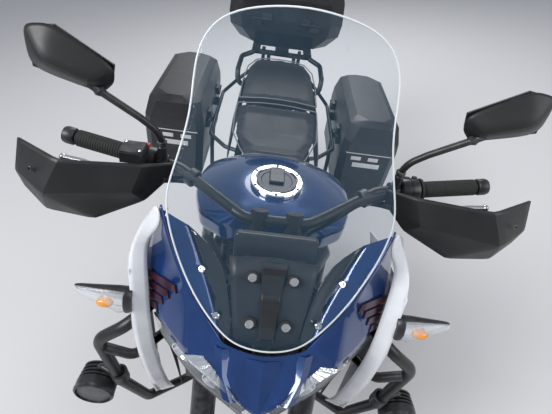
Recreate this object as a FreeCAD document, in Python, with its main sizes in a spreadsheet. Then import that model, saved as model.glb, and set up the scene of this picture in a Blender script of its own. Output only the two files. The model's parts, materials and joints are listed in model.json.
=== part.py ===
"""Adventure motorcycle, parked on its side stand, as an assembly of separate pieces.

The machine is laid out upright: x to the rider's left, y to the rear, z up, with the
origin on the ground half way between the axles. Each finished piece is then leaned
over the tyres to the left, onto the side stand. Lengths are millimetres.
"""
import FreeCAD
import Part
import math
import os
import Sketcher
from FreeCAD import Placement, Rotation, Vector

doc = FreeCAD.newDocument("adventure_motorcycle")

# Driving dimensions: alias, value, meaning
SIZES = [
    ("wheelbase", 1415, "axle to axle"),
    ("rake", 25, "steering axis from the vertical, degrees"),
    ("trail", 108, "steering axis ahead of the front contact"),
    ("lean", 9.5, "lean onto the side stand, degrees"),
    ("shift_x", -129, "moves the leaned machine to the middle of its own box"),
    ("shift_y", -137, "the same, lengthwise"),
    ("front_tyre_radius", 300, "front tyre, outside"),
    ("front_tyre_width", 120, "front tyre"),
    ("rear_tyre_radius", 312, "rear tyre, outside"),
    ("rear_tyre_width", 160, "rear tyre"),
    ("bead_radius", 218, "tyre bead seat of both rims"),
    ("front_rim_width", 106, "front rim over its lips"),
    ("rear_rim_width", 136, "rear rim over its lips"),
    ("wheel_sides", 36, "flat steps round rims and tyres"),
    ("bar_sides", 8, "flat steps round plain bars"),
    ("tube_sides", 6, "flat steps round bent tubes"),
    ("cap_sides", 20, "flat steps round the fuel cap"),
    ("rim_wall", 5, "rim barrel thickness"),
    ("lip_width", 4, "rim lip, across the wheel"),
    ("lip_height", 12, "the same, outwards"),
    ("axle_radius", 10, "both axles"),
    ("bearing_play", 0.05, "radial play of shafts in their bores"),
    ("seat_gap", 0.3, "gap between pieces that seat on each other"),
    ("hub_radius", 34, "wheel hubs"),
    ("spoke_depth", 26, "cast spokes across the wheel"),
    ("front_disc_radius", 150, "front brake discs"),
    ("front_disc_place", 62, "disc middle from the wheel's middle"),
    ("rear_disc_radius", 125, "rear brake disc"),
    ("rear_disc_place", 69, "disc middle from the wheel's middle"),
    ("disc_thickness", 5, "brake discs"),
    ("fork_half_space", 100, "fork leg from the middle"),
    ("fork_tube_radius", 20.5, "inner fork tube"),
    ("fork_sleeve_radius", 25, "outer fork tube"),
    ("clamp_height", 25, "triple clamps"),
    ("stem_radius", 15, "steering stem"),
    ("stem_bore", 9, "hollow of the steering stem"),
    ("head_radius", 31, "steering head tube"),
    ("head_bore", 24, "steering head tube, inside"),
    ("bar_radius", 11.1, "handlebar tube"),
    ("grip_radius", 16.5, "grips"),
    ("frame_tube", 16, "main frame tube radius"),
    ("sub_tube", 12.5, "rear frame tube radius"),
    ("rack_tube", 8, "case rack tube radius"),
    ("crash_tube", 12.7, "crash bar tube radius"),
    ("pivot_y", 165, "swingarm pivot, behind the middle"),
    ("pivot_z", 380, "swingarm pivot, height"),
    ("chain_x", 92, "chain line from the middle"),
    ("chain_pitch", 15.875, "roller chain"),
    ("rear_teeth", 46, "rear sprocket"),
    ("front_teeth", 15, "front sprocket"),
    ("panel_wall", 3, "bodywork thickness"),
    ("screen_wall", 4, "windscreen thickness"),
    ("case_wall", 4, "luggage case thickness"),
    ("pannier_inner", 268, "pannier's inner side from the middle"),
    ("pannier_width", 222, "pannier across"),
    ("pannier_front", 462, "pannier's front behind the middle"),
    ("pannier_length", 525, "pannier lengthwise"),
    ("pannier_base", 490, "pannier's floor height"),
    ("pannier_height", 262, "pannier body up to its lid"),
    ("pannier_lid", 120, "pannier lid height"),
    ("top_width", 480, "top case across"),
    ("top_front", 885, "top case's front behind the middle"),
    ("top_length", 395, "top case lengthwise"),
    ("top_base", 962, "top case's floor height"),
    ("top_height", 110, "top case body up to its lid"),
    ("top_lid", 190, "top case lid height"),
    ("crown_flat", 15, "half of the flat middle of both tyres"),
    ("crown_drop", 0.9, "the tyres' radius lost at the edge of that flat"),
    ("lid_gap", 0.4, "gap between lids and cases"),
    ("cap_y", -147, "fuel cap, behind the middle"),
    ("cap_z", 1016, "fuel cap height"),
    ("cap_radius", 46, "fuel cap flap"),
    ("cap_ring", 60, "fuel cap ring, outside radius"),
    ("stand_radius", 13, "side stand tube"),
]

sheet = doc.addObject("Spreadsheet::Sheet", "Sizes")
for row, (alias, value, meaning) in enumerate(SIZES, start=1):
    sheet.set(f"A{row}", alias)
    sheet.set(f"B{row}", str(value))
    sheet.set(f"C{row}", meaning)
    sheet.setAlias(f"B{row}", alias)
doc.recompute()


class Sizes:
    """The sheet's values, read back by their aliases."""


s = Sizes()
for alias, _value, _meaning in SIZES:
    setattr(s, alias, float(sheet.get(alias)))

X_AXIS, Y_AXIS, Z_AXIS = Vector(1, 0, 0), Vector(0, 1, 0), Vector(0, 0, 1)
RAKE = math.radians(s.rake)
LEAN = math.radians(s.lean)
AXIS_DIR = Vector(0, math.sin(RAKE), math.cos(RAKE))
AXIS_FORWARD = Vector(0, -math.cos(RAKE), math.sin(RAKE))
FRONT_AXLE = Vector(0, -s.wheelbase / 2, s.front_tyre_radius)
REAR_AXLE = Vector(0, s.wheelbase / 2, s.rear_tyre_radius)
AXIS_GROUND = Vector(0, -s.wheelbase / 2 - s.trail, 0)
AXLE_ON_AXIS = (FRONT_AXLE - AXIS_GROUND).dot(AXIS_DIR)
FORK_OFFSET = (FRONT_AXLE - AXIS_GROUND).dot(AXIS_FORWARD)
PIVOT = Vector(0, s.pivot_y, s.pivot_z)

BAR_SIDES, TUBE_SIDES = int(s.bar_sides), int(s.tube_sides)

# How far inside its corners' radius a plain bar's flat lies, as a share of that radius
BAR_FLAT = math.cos(math.pi / BAR_SIDES)

# The machine rolls on the edge of its tyres' flat middle as it leans over, and each
# tyre stands on one of its flat steps.
STEP_LOSS = s.front_tyre_radius * (1 - math.cos(math.pi / s.wheel_sides))
SINK = s.crown_flat * math.sin(LEAN) - (s.crown_drop + STEP_LOSS) * math.cos(LEAN)
LEANED = Placement(Vector(s.shift_x, s.shift_y, SINK), Rotation(Y_AXIS, s.lean))
PIECES = []


def steer(x, forward, along):
    """A point given across, ahead of and along the steering axis, from the axle."""
    return (AXIS_GROUND + AXIS_DIR * (AXLE_ON_AXIS + along) + AXIS_FORWARD * forward
            + X_AXIS * x)


def keep(obj, label, local):
    """Name a finished piece, place it and lean it with the machine."""
    obj.Label = label
    obj.Placement = LEANED.multiply(local)
    PIECES.append(obj)
    return obj


def piece(label, shape):
    """A finished piece from a shape laid out in the machine's upright frame."""
    obj = doc.addObject("Part::Feature", label)
    obj.Shape = shape
    return keep(obj, label, obj.Placement)


def mirrored(shape):
    """The same shape on the other side of the machine."""
    return shape.mirror(Vector(), X_AXIS)


def both(shape):
    """A shape and its mirror image, as one compound."""
    return Part.makeCompound([shape, mirrored(shape)])


def fuse(shapes):
    """One solid from touching or overlapping shapes."""
    return shapes[0].multiFuse(shapes[1:]).removeSplitter()


def block(low, high):
    """A box between two corners."""
    low, high = Vector(*low), Vector(*high)
    return Part.makeBox(high.x - low.x, high.y - low.y, high.z - low.z, low)


def rod(start, end, radius, bore=0):
    """A round bar or tube between two points."""
    start, end = Vector(*start), Vector(*end)
    run = end - start
    bar = Part.makeCylinder(radius, run.Length, start, run)
    if bore:
        bar = bar.cut(Part.makeCylinder(bore, run.Length, start, run))
    return bar


def ngon(centre, axis, radius, sides):
    """A regular polygon round a centre, square to an axis, as a closed wire."""
    axis = Vector(axis).normalize()
    across = axis.cross(Z_AXIS if abs(axis.z) < 0.9 else X_AXIS).normalize()
    up = axis.cross(across)
    turn = 2 * math.pi / sides
    corners = [centre + across * (radius * math.cos(turn * (i + 0.5)))
               + up * (radius * math.sin(turn * (i + 0.5))) for i in range(sides)]
    return Part.makePolygon(corners + corners[:1])


def drum(start, end, radius, sides=BAR_SIDES):
    """A plain bar with flat facets between two points."""
    start, end = Vector(*start), Vector(*end)
    return Part.Face(ngon(start, end - start, radius, sides)).extrude(end - start)


# A tube that turns by less than this has a single mitre there
SHARP_BEND = math.radians(40)


def eased(points, share):
    """The same path with its sharper corners cut off, so that a tube bends there in two steps."""
    path = [points[0]]
    for before, corner, after in zip(points, points[1:], points[2:]):
        back, ahead = before - corner, after - corner
        if math.pi - back.getAngle(ahead) < SHARP_BEND:
            path.append(corner)
            continue
        reach = share * min(back.Length, ahead.Length)
        path.append(corner + back.normalize() * reach)
        path.append(corner + ahead.normalize() * reach)
    return path + [points[-1]]


def tube(points, radius, sides=TUBE_SIDES, ease=0.3):
    """A bent tube in flat facets, mitred where it turns."""
    points = [Vector(*p) for p in points]
    path = eased(points, ease) if ease else points
    profile = ngon(path[0], path[1] - path[0], radius, sides)
    return Part.makePolygon(path).makePipeShell([profile], True, False, 1)


def solid_of(triangles):
    """A solid from corner triples seen from outside."""
    faces = [Part.Face(Part.makePolygon([a, b, c, a])) for a, b, c in triangles]
    made = Part.makeSolid(Part.makeShell(faces))
    if made.Volume < 0:
        made.reverse()
    return made


def skin(rings):
    """A closed body through rings of as many points each, capped at both ends."""
    rings = [[Vector(*p) for p in ring] for ring in rings]
    count = len(rings[0])
    triangles = []
    for low, high in zip(rings, rings[1:]):
        for i in range(count):
            j = (i + 1) % count
            triangles += [(low[i], low[j], high[j]), (low[i], high[j], high[i])]
    first, last = rings[0], rings[-1]
    for i in range(1, count - 1):
        triangles += [(first[0], first[i + 1], first[i]), (last[0], last[i], last[i + 1])]
    return solid_of(triangles)


def shell(points, faces, wall, symmetric=False):
    """A creased panel: named points, faces round them seen from outside, a wall inwards."""
    names = list(points)
    outer = {n: Vector(*points[n]) for n in names}
    loops = [list(face) for face in faces]
    if symmetric:
        for n in names:
            if abs(outer[n].x) > 0.001:
                outer[n + "'"] = Vector(-outer[n].x, outer[n].y, outer[n].z)
        loops += [[n + "'" if n + "'" in outer else n for n in reversed(face)]
                  for face in faces]
    triangles = [(f[0], f[i], f[i + 1]) for f in loops for i in range(1, len(f) - 1)]
    lean_out = {n: [] for n in outer}
    for a, b, c in triangles:
        normal = (outer[b] - outer[a]).cross(outer[c] - outer[a])
        normal.normalize()
        for n in (a, b, c):
            if all((normal - other).Length > 0.01 for other in lean_out[n]):
                lean_out[n].append(normal)
    inner = {}
    for n, normals in lean_out.items():
        total = Vector()
        for normal in normals:
            total += normal
        total.normalize()
        facing = min(total.dot(normal) for normal in normals)
        inner[n] = outer[n] - total * (wall / max(facing, 0.5))
    used = {}
    for triangle in triangles:
        for a, b in zip(triangle, triangle[1:] + triangle[:1]):
            used[(a, b)] = True
    skins = []
    for a, b, c in triangles:
        skins.append((outer[a], outer[b], outer[c]))
        skins.append((inner[c], inner[b], inner[a]))
    for a, b in used:
        if (b, a) not in used:
            skins.append((outer[b], outer[a], inner[a]))
            skins.append((outer[b], inner[a], inner[b]))
    return solid_of(skins)


def stepped_ring(profile, centre, sides):
    """A closed (across, radius) profile carried round a wheel's axle in flat steps."""
    turn = 2 * math.pi / sides
    rings = []
    for i in range(sides):
        a = turn * (i + 0.5)
        rings.append([centre + Vector(across, radius * math.sin(a), radius * math.cos(a))
                      for across, radius in profile])
    triangles = []
    for low, high in zip(rings, rings[1:] + rings[:1]):
        for j in range(len(profile)):
            k = (j + 1) % len(profile)
            triangles += [(low[j], low[k], high[k]), (low[j], high[k], high[j])]
    return solid_of(triangles)


def origin_plane(body, role):
    """One of a body's own origin planes."""
    return next(f for f in body.Origin.OriginFeatures if f.Role == role)


def sketch_on(body, name, role="XY_Plane", lift=0):
    """An empty sketch on one of the body's origin planes."""
    sketch = body.newObject("Sketcher::SketchObject", name)
    sketch.AttachmentSupport = [(origin_plane(body, role), "")]
    sketch.MapMode = "FlatFace"
    sketch.AttachmentOffset = Placement(Vector(0, 0, lift), Rotation())
    return sketch


def draw_loop(sketch, points):
    """A closed loop of straight lines."""
    first = sketch.GeometryCount
    corners = [Vector(x, y, 0) for x, y in points]
    for a, b in zip(corners, corners[1:] + corners[:1]):
        sketch.addGeometry(Part.LineSegment(a, b))
    for i in range(len(corners)):
        after = first + (i + 1) % len(corners)
        sketch.addConstraint(Sketcher.Constraint("Coincident", first + i, 2, after, 1))


def draw_circle(sketch, radius, bound):
    """A circle round the sketch's origin whose radius follows an expression of the sheet."""
    index = sketch.addGeometry(Part.Circle(Vector(), Z_AXIS, radius))
    rule = sketch.addConstraint(Sketcher.Constraint("Radius", index, radius))
    sketch.setExpression(f"Constraints[{rule}]", bound)


def pad(body, sketch, name, length, middle=True):
    """A pad whose length follows an expression of the sheet."""
    feature = body.newObject("PartDesign::Pad", name)
    feature.Profile = sketch
    feature.SideType = "Symmetric" if middle else "One side"
    feature.setExpression("Length", length)
    return feature


def around(body, feature, name, count):
    """Repeat a feature round the body's own Z axis."""
    pattern = body.newObject("PartDesign::PolarPattern", name)
    pattern.Originals = [feature]
    axis = next(f for f in body.Origin.OriginFeatures if f.Role == "Z_Axis")
    pattern.Axis = (axis, [""])
    pattern.Angle = 360
    pattern.Occurrences = count
    body.Tip = pattern
    return pattern


def through(body, sketch, name):
    """Cut a sketch right through a body."""
    pocket = body.newObject("PartDesign::Pocket", name)
    pocket.Profile = sketch
    pocket.Type = "ThroughAll"
    pocket.SideType = "Symmetric"
    body.Tip = pocket
    return body


def primitive(kind, name, base, sizes, turn=Rotation()):
    """A Part primitive whose sizes follow numbers or expressions of the sheet."""
    obj = doc.addObject(f"Part::{kind}", name)
    obj.Placement = Placement(Vector(*base), turn)
    for size, rule in sizes.items():
        obj.setExpression(size, str(rule))
    return obj


def joined(name, parts):
    """Several objects fused into one."""
    made = doc.addObject("Part::MultiFuse", name)
    made.Shapes = parts
    made.Refine = True
    return made


def less(name, base, tool):
    """One object with another cut from it."""
    made = doc.addObject("Part::Cut", name)
    made.Base, made.Tool = base, tool
    made.Refine = True
    return made


def on_axle(centre):
    """Places a piece drawn round its own Z axis on an axle across the machine."""
    return Placement(centre, Rotation(Y_AXIS, 90))


def wheel_outline(radius):
    """The flat-sided outline of a wheel at a radius."""
    turn = 2 * math.pi / s.wheel_sides
    return [(radius * math.cos(turn * (i + 0.5)), radius * math.sin(turn * (i + 0.5)))
            for i in range(int(s.wheel_sides))]


def tyre(label, centre, radius, width, rim_width):
    """A tyre: beads in the rim, bulging side walls and a crown that is flat in the middle."""
    seat = s.bead_radius + s.seat_gap
    bead = rim_width / 2 - s.lip_width - s.seat_gap
    half, tall = width / 2, radius - seat
    outside = [(bead, seat), (bead, seat + s.lip_height + 1), (half, seat + 0.45 * tall),
               (0.72 * half, radius - 0.15 * tall), (s.crown_flat, radius - s.crown_drop)]
    profile = outside + [(-x, r) for x, r in reversed(outside)]
    return piece(label, stepped_ring(profile, centre, int(s.wheel_sides)))


def rim(label, centre, rim_width, hub_length, spokes, spoke_width):
    """A cast wheel: barrel, hub and pairs of spokes that part towards the barrel."""
    body = doc.addObject("PartDesign::Body", label)
    half, seat = rim_width / 2, s.bead_radius

    def ring_plan(name, inner, outer, lift):
        plan = sketch_on(body, label + name, lift=lift)
        for radius in (inner, outer):
            draw_loop(plan, wheel_outline(radius))
        return plan

    pad(body, ring_plan("_barrel_plan", seat - s.rim_wall, seat, 0), label + "_barrel",
        f"Sizes.{label[:-4]}_rim_width")
    for side, word in ((1, "_left"), (-1, "_right")):
        plan = ring_plan(word + "_lip_plan", seat - 1, seat + s.lip_height,
                         side * (half - s.lip_width / 2))
        pad(body, plan, label + word + "_lip", "Sizes.lip_width")
    spoke_plan = sketch_on(body, label + "_spoke_plan")
    w, root = spoke_width / 2, s.hub_radius - 8
    tip = math.sqrt((seat - s.rim_wall / 2) ** 2 - (3.4 * w) ** 2) - 1
    draw_loop(spoke_plan, [
        (root, -w * 1.5), (root, w * 1.5), (70, w * 1.25), (tip, w * 3.4),
        (tip, w * 1.6), (92, 0), (tip, -w * 1.6), (tip, -w * 3.4), (70, -w * 1.25)])
    spoke = pad(body, spoke_plan, label + "_spoke", "Sizes.spoke_depth")
    around(body, spoke, label + "_spokes", spokes)
    hub_plan = sketch_on(body, label + "_hub_plan")
    draw_circle(hub_plan, s.hub_radius, "Sizes.hub_radius")
    hub = body.newObject("PartDesign::Pad", label + "_hub")
    hub.Profile = hub_plan
    hub.SideType = "Symmetric"
    hub.Length = hub_length
    body.Tip = hub
    bore_plan = sketch_on(body, label + "_bore_plan")
    draw_circle(bore_plan, s.axle_radius + s.bearing_play, "Sizes.axle_radius + Sizes.bearing_play")
    return keep(through(body, bore_plan, label + "_bore"), label, on_axle(centre))


def flat_plate(corners, thickness):
    """A plate across the machine from (radius, angle) corners round an axle at the origin."""
    points = [Vector(0, r * math.cos(a), r * math.sin(a)) for r, a in corners]
    return Part.Face(Part.makePolygon(points + points[:1])).extrude(X_AXIS * thickness)


def brake_disc(name, radius, band):
    """A petal brake disc round its own Z axis: a carrier, five arms and a wavy band."""
    petals, inner = 10, s.hub_radius + s.seat_gap
    turn = 2 * math.pi / petals
    body = doc.addObject("PartDesign::Body", name)

    def layer(part, *loops):
        plan = sketch_on(body, f"{name}_{part}_plan")
        for loop in loops:
            draw_loop(plan, [(r * math.cos(a), r * math.sin(a)) for r, a in loop])
        return pad(body, plan, f"{name}_{part}", "Sizes.disc_thickness")

    layer("carrier", [(inner + 14, turn * (i + 0.5)) for i in range(petals)])
    reach = radius - band + 4
    arm = layer("arm", [(inner + 2, -0.4), (reach, -0.16), (reach, 0.16), (inner + 2, 0.4)])
    around(body, arm, f"{name}_arms", petals // 2)
    # Share of a petal, and the radius there
    wave = [(0.0, radius - 7), (0.2, radius), (0.8, radius)]
    body.Tip = layer("band", [(r, turn * (i + share)) for i in range(petals) for share, r in wave],
                     [(radius - band, turn * i) for i in range(petals)])
    bore_plan = sketch_on(body, f"{name}_bore_plan")
    draw_circle(bore_plan, inner, "Sizes.hub_radius + Sizes.seat_gap")
    return through(body, bore_plan, f"{name}_bore")


def pitch_radius(teeth):
    """Radius of the circle through a sprocket's chain rollers."""
    return s.chain_pitch / (2 * math.sin(math.pi / teeth))


FRONT_HUB = 2 * s.front_disc_place + s.disc_thickness + 6
REAR_HUB = 2 * s.chain_x + 6

# Front wheel
tyre("front_tyre", FRONT_AXLE, s.front_tyre_radius, s.front_tyre_width, s.front_rim_width)
rim("front_rim", FRONT_AXLE, s.front_rim_width, FRONT_HUB, 5, 17)
front_pair = doc.addObject("Part::Compound", "front_discs")
front_pair.Links = [brake_disc(name, s.front_disc_radius, 34) for name in ("disc_left", "disc_right")]
for disc, side in zip(front_pair.Links, ("", "-")):
    disc.setExpression("Placement.Base.z", f"{side}Sizes.front_disc_place")
keep(front_pair, "front_discs", on_axle(FRONT_AXLE))

# Rear wheel
tyre("rear_tyre", REAR_AXLE, s.rear_tyre_radius, s.rear_tyre_width, s.rear_rim_width)
rim("rear_rim", REAR_AXLE, s.rear_rim_width, REAR_HUB, 5, 19)
keep(brake_disc("rear_disc", s.rear_disc_radius, 34), "rear_disc",
     on_axle(REAR_AXLE - X_AXIS * s.rear_disc_place))


def rear_sprocket():
    """The driven sprocket: a plate with five windows inside the chain."""
    root = pitch_radius(int(s.rear_teeth)) - 8
    plate = flat_plate([(root, 2 * math.pi * i / 30) for i in range(30)], 6)
    for i in range(5):
        a = 2 * math.pi * i / 5
        plate = plate.cut(flat_plate([(54, a - 0.35), (88, a - 0.42), (88, a + 0.42), (54, a + 0.35)], 6))
    plate = plate.cut(drum((-5, 0, 0), (9, 0, 0), (s.hub_radius + s.seat_gap) / BAR_FLAT))
    plate.translate(REAR_AXLE + X_AXIS * (s.chain_x - 3))
    return piece("rear_sprocket", plate)


# Steering

LOWER_CLAMP, HEAD_LOW, HEAD_HIGH, UPPER_CLAMP = 562, 593, 697, 703
SLEEVE_TOP = 734


def fork():
    """Two upside-down fork legs on a hollow axle."""
    x, f = s.fork_half_space, FORK_OFFSET
    made = []
    for side in (1, -1):
        def leg(low, high, radius):
            return drum(steer(side * x, f, low), steer(side * x, f, high), radius)

        made += [leg(0, 325, s.fork_tube_radius), leg(318, SLEEVE_TOP, s.fork_sleeve_radius),
                 leg(312, 332, s.fork_tube_radius + 7),
                 leg(SLEEVE_TOP - 2, SLEEVE_TOP + 4, s.fork_tube_radius - 2),
                 leg(6, 86, s.fork_tube_radius + 5)]
        made.append(drum(steer(side * (x - 22), f, 0), steer(side * (x + 24), f, 0), 25))
        made.append(drum(steer(side * (FRONT_HUB / 2 + 1), f, 0), steer(side * (x - 20), f, 0), 17))
    made.append(rod(steer(-x - 24, f, 0), steer(x + 24, f, 0), s.axle_radius))
    hollow = rod(steer(-x - 30, f, 0), steer(x + 30, f, 0), s.axle_radius - 4)
    return piece("fork", fuse(made).cut(hollow))


# The bar: from its middle out to where the left grip's weight begins
BAR_POINTS = [Vector(0, -323.6, 1055), Vector(60, -323.6, 1055), Vector(196, -239, 1089.5),
              Vector(402, -208.2, 1109.3)]
GRIP_DIR = (BAR_POINTS[3] - BAR_POINTS[2]).normalize()
GRIP_START = BAR_POINTS[2] + GRIP_DIR * 87


def bar_hole(start, end):
    """Room for the handlebar between two points."""
    return drum(start, end, (s.bar_radius + s.bearing_play) / BAR_FLAT)


def triple_clamps():
    """Both clamps on the hollow stem, split round the legs, and the bar's two risers."""
    x, f, tall = s.fork_half_space, FORK_OFFSET, s.clamp_height
    made, holes = [], []
    for along in (LOWER_CLAMP, UPPER_CLAMP):
        for side in (1, -1):
            made.append(drum(steer(side * x, f, along), steer(side * x, f, along + tall), 30.5))
            holes.append(drum(steer(side * x, f, along - 1), steer(side * x, f, along + tall + 1),
                              s.fork_sleeve_radius + s.seat_gap))
        web = block((-x, -20, 0), (x, 20, tall))
        web.Placement = Placement(steer(0, f - 8, along), Rotation(X_AXIS, -s.rake))
        made.append(web)
        made.append(drum(steer(0, 0, along), steer(0, 0, along + tall), 30, 12))
    made.append(drum(steer(0, 0, LOWER_CLAMP + 5), steer(0, 0, UPPER_CLAMP + 15), s.stem_radius + 2))
    made.append(rod(steer(0, 0, HEAD_LOW), steer(0, 0, HEAD_HIGH), s.head_bore - s.bearing_play))
    middle = BAR_POINTS[0]
    lift = (middle - AXIS_GROUND).dot(AXIS_DIR) - AXLE_ON_AXIS
    for side in (1, -1):
        made.append(drum(steer(side * 33, 0, UPPER_CLAMP + 10), steer(side * 33, 0, lift + 19), 17))
    holes.append(bar_hole((-70, middle.y, middle.z), (70, middle.y, middle.z)))
    holes.append(rod(steer(0, 0, LOWER_CLAMP - 10), steer(0, 0, UPPER_CLAMP + 60), s.stem_bore))
    return piece("triple_clamps", fuse(made).cut(Part.makeCompound(holes)))


def handlebar():
    """One bent tube between the weights."""
    half = tube(BAR_POINTS, s.bar_radius, BAR_SIDES, 0.12)
    return piece("handlebar", fuse([half, mirrored(half)]))


def along_grip(distance, up=0, ahead=0):
    """A point on the left grip's line, from its inner end, moved up and ahead."""
    return GRIP_START + GRIP_DIR * distance + Vector(0, -ahead, up)


def grips():
    """Rubber grips with inner flanges, and the bar's end weights."""
    hole = bar_hole(along_grip(-5), along_grip(122))
    grip = fuse([drum(along_grip(0), along_grip(118), s.grip_radius),
                 drum(along_grip(0), along_grip(5), 23)]).cut(hole)
    end = drum(along_grip(122.5), along_grip(147), 17)
    return piece("grips", both(Part.makeCompound([grip, end])))


def hand_controls():
    """Switch housings, perches and levers on both sides of the bar."""
    house = drum(along_grip(-40), along_grip(-3), 25, 8)
    perch = drum(along_grip(-64), along_grip(-44), 18, 8)
    arm = tube([along_grip(-54, 0, 10), along_grip(-50, 0, 34), along_grip(-24, -4, 56)], 8, 6)
    lever = tube([along_grip(-30, -4, 56), along_grip(45, -8, 60), along_grip(92, -10, 54),
                  along_grip(128, -10, 58)], 6.5, 6)
    boss = drum(along_grip(-54, 8, 4), along_grip(-54, 42, 4), 9, 8)
    hole = bar_hole(along_grip(-80), along_grip(10))
    left = fuse([house, perch, arm, lever, boss]).cut(hole)
    reservoir = fuse([block((-290, -296, 1126), (-248, -258, 1152)),
                      drum((-258, -252, 1104), (-262, -270, 1130), 10, 8)])
    right = fuse([mirrored(left), reservoir.cut(mirrored(hole))])
    return piece("hand_controls", Part.makeCompound([left, right]))


def handguards():
    """Open-ended wind guards: creased shields ahead of the grips."""
    points = {
        "a": (205, -262, 1116), "b": (246, -302, 1134), "c": (370, -342, 1152),
        "d": (462, -285, 1146), "e": (212, -262, 1084), "f": (262, -330, 1092),
        "g": (400, -362, 1094), "h": (474, -300, 1088), "i": (252, -300, 1052),
        "j": (330, -340, 1030), "k": (420, -330, 1032), "l": (468, -298, 1052),
    }
    faces = ["abfe", "bcgf", "cdhg", "efi", "fgji", "gkj", "ghlk"]
    guard = shell(points, faces, 4)
    middle = BAR_POINTS[1] + (BAR_POINTS[2] - BAR_POINTS[1]) * 0.8
    way = (BAR_POINTS[2] - BAR_POINTS[1]).normalize()
    hole = tube(BAR_POINTS, s.bar_radius + s.seat_gap, BAR_SIDES, 0.12)
    clamp = drum(middle - way * 8, middle + way * 8, 18, 8)
    stay = tube([middle + Vector(0, 0, -8), Vector(206, -252, 1070), Vector(222, -276, 1084)], 7, 6)
    return piece("handguards", both(fuse([guard, stay, clamp]).cut(hole)))


def mirrors():
    """Angular shells on bent stalks, with the glass facing the rider."""
    rim_points = {
        "a": (292, -258, 1283), "b": (378, -252, 1336), "c": (424, -250, 1330),
        "d": (430, -246, 1262), "e": (322, -246, 1232), "f": (298, -252, 1256),
    }
    back = {"r": (388, -288, 1290), "t": (330, -282, 1268)}
    faces = [("a", "b", "r", "t"), ("b", "c", "r"), ("c", "d", "r"), ("d", "e", "t", "r"),
             ("e", "f", "t"), ("f", "a", "t")]
    hood = shell({**rim_points, **back}, faces, 3)
    outline = [Vector(x, -247, z) for x, _y, z in rim_points.values()]
    glass = Part.Face(Part.makePolygon(outline + outline[:1])).extrude(Vector(0, 5, 0))
    stalk = tube([along_grip(-54, 43.3, 4), along_grip(-54, 70, 8), Vector(262, -246, 1192),
                  Vector(336, -256, 1252)], 7, 6)
    return piece("mirrors", both(fuse([hood, glass, stalk])))


def arch(centre, section, start, stop, steps, wall):
    """A mudguard: a creased section (across, radius) carried round a wheel in flat steps."""
    points, faces = {}, []
    for i in range(steps + 1):
        angle = math.radians(start + (stop - start) * i / steps)
        for j, (across, radius) in enumerate(section):
            points[f"{i}_{j}"] = centre + Vector(across, radius * math.cos(angle),
                                                 radius * math.sin(angle))
    for i in range(steps):
        for j in range(len(section) - 1):
            faces.append((f"{i}_{j}", f"{i}_{j + 1}", f"{i + 1}_{j + 1}", f"{i + 1}_{j}"))
    return shell(points, faces, wall)


def front_fender():
    """A slim mudguard over the front tyre, held at the feet of the fork sleeves."""
    r, half = s.front_tyre_radius + 12, s.front_tyre_width / 2 + 5
    section = [(-half, r - 34), (-half + 5, r - 6), (-24, r + 6), (24, r + 6), (half - 5, r - 6),
               (half, r - 34)]
    cover = arch(FRONT_AXLE, section, 142, 22, 9, s.panel_wall)
    sleeve = s.fork_half_space - s.fork_tube_radius * BAR_FLAT - s.seat_gap
    lugs = [drum(steer(side * (half - 4), FORK_OFFSET, 290), steer(side * sleeve, FORK_OFFSET, 290), 9, 8)
            for side in (1, -1)]
    return piece("front_fender", fuse([cover] + lugs))


def front_calipers():
    """Sliding calipers behind the fork legs, each open round its disc."""
    x, angle = s.front_disc_place, math.radians(28)
    arc = s.front_disc_radius - 16
    middle = FRONT_AXLE + Vector(x, arc * math.cos(angle), arc * math.sin(angle))
    body = block((-24, -26, -50), (32, 26, 50))
    body.Placement = Placement(middle, Rotation(X_AXIS, 28))
    slot = Part.makeCylinder(s.front_disc_radius + 5, s.disc_thickness + 10,
                             FRONT_AXLE + X_AXIS * (x - s.disc_thickness / 2 - 5), X_AXIS)
    out = s.fork_half_space + 2
    lug = fuse([drum(steer(out, FORK_OFFSET - 10, 62), steer(out, FORK_OFFSET - 60, 70), 10, 8),
                drum(steer(out, FORK_OFFSET - 60, 70), middle + Vector(26, 0, 0), 11, 8)])
    leg = rod(steer(s.fork_half_space, FORK_OFFSET, 0), steer(s.fork_half_space, FORK_OFFSET, 90),
              s.fork_tube_radius + 5 + s.seat_gap)
    return piece("front_calipers", both(fuse([body.cut(slot), lug]).cut(leg)))


# Side stand's pivot, on the frame

STAND_PIVOT = Vector(158, 70, 276)
STAND_AXIS = Vector(0.92, 0, 0.39).normalize()


def prism(outline, low, high):
    """A plate from (y, z) corners between two distances from the middle."""
    corners = [Vector(low, y, z) for y, z in outline]
    return Part.Face(Part.makePolygon(corners + corners[:1])).extrude(X_AXIS * (high - low))


# Cross-sections: y, then (half width, height) pairs up to the crown
TANK_ROWS = [
    (-256, (50, 905), (104, 925), (112, 965), (74, 1002), 1007),
    (-215, (84, 888), (160, 915), (164, 966), (96, 1006), 1013),
    (-147, (96, 880), (186, 912), (186, 963), (104, 1008), 1016),
    (-60, (98, 870), (194, 905), (188, 953), (104, 998), 1008),
    (30, (92, 858), (184, 890), (168, 935), (92, 968), 980),
    (105, (70, 840), (146, 860), (132, 895), (74, 918), 926),
    (150, (60, 830), (112, 842), (104, 868), (60, 884), 890)]
RIDER_ROWS = [
    (150.5, (58, 842), (100, 852), (98, 876), (58, 890), 893),
    (230, (66, 832), (118, 842), (118, 856), (76, 867), 868),
    (330, (96, 832), (148, 842), (150, 852), (108, 862), 862),
    (430, (104, 842), (152, 854), (154, 868), (118, 880), 880),
    (476, (104, 854), (150, 868), (148, 892), (112, 908), 908)]
PILLION_ROWS = [
    (476.3, (100, 872), (146, 884), (146, 905), (108, 918), 922),
    (620, (98, 882), (146, 895), (147, 912), (112, 924), 930),
    (760, (86, 888), (138, 900), (138, 916), (102, 930), 936),
    (850, (62, 892), (112, 902), (108, 916), (78, 926), 930)]


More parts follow.
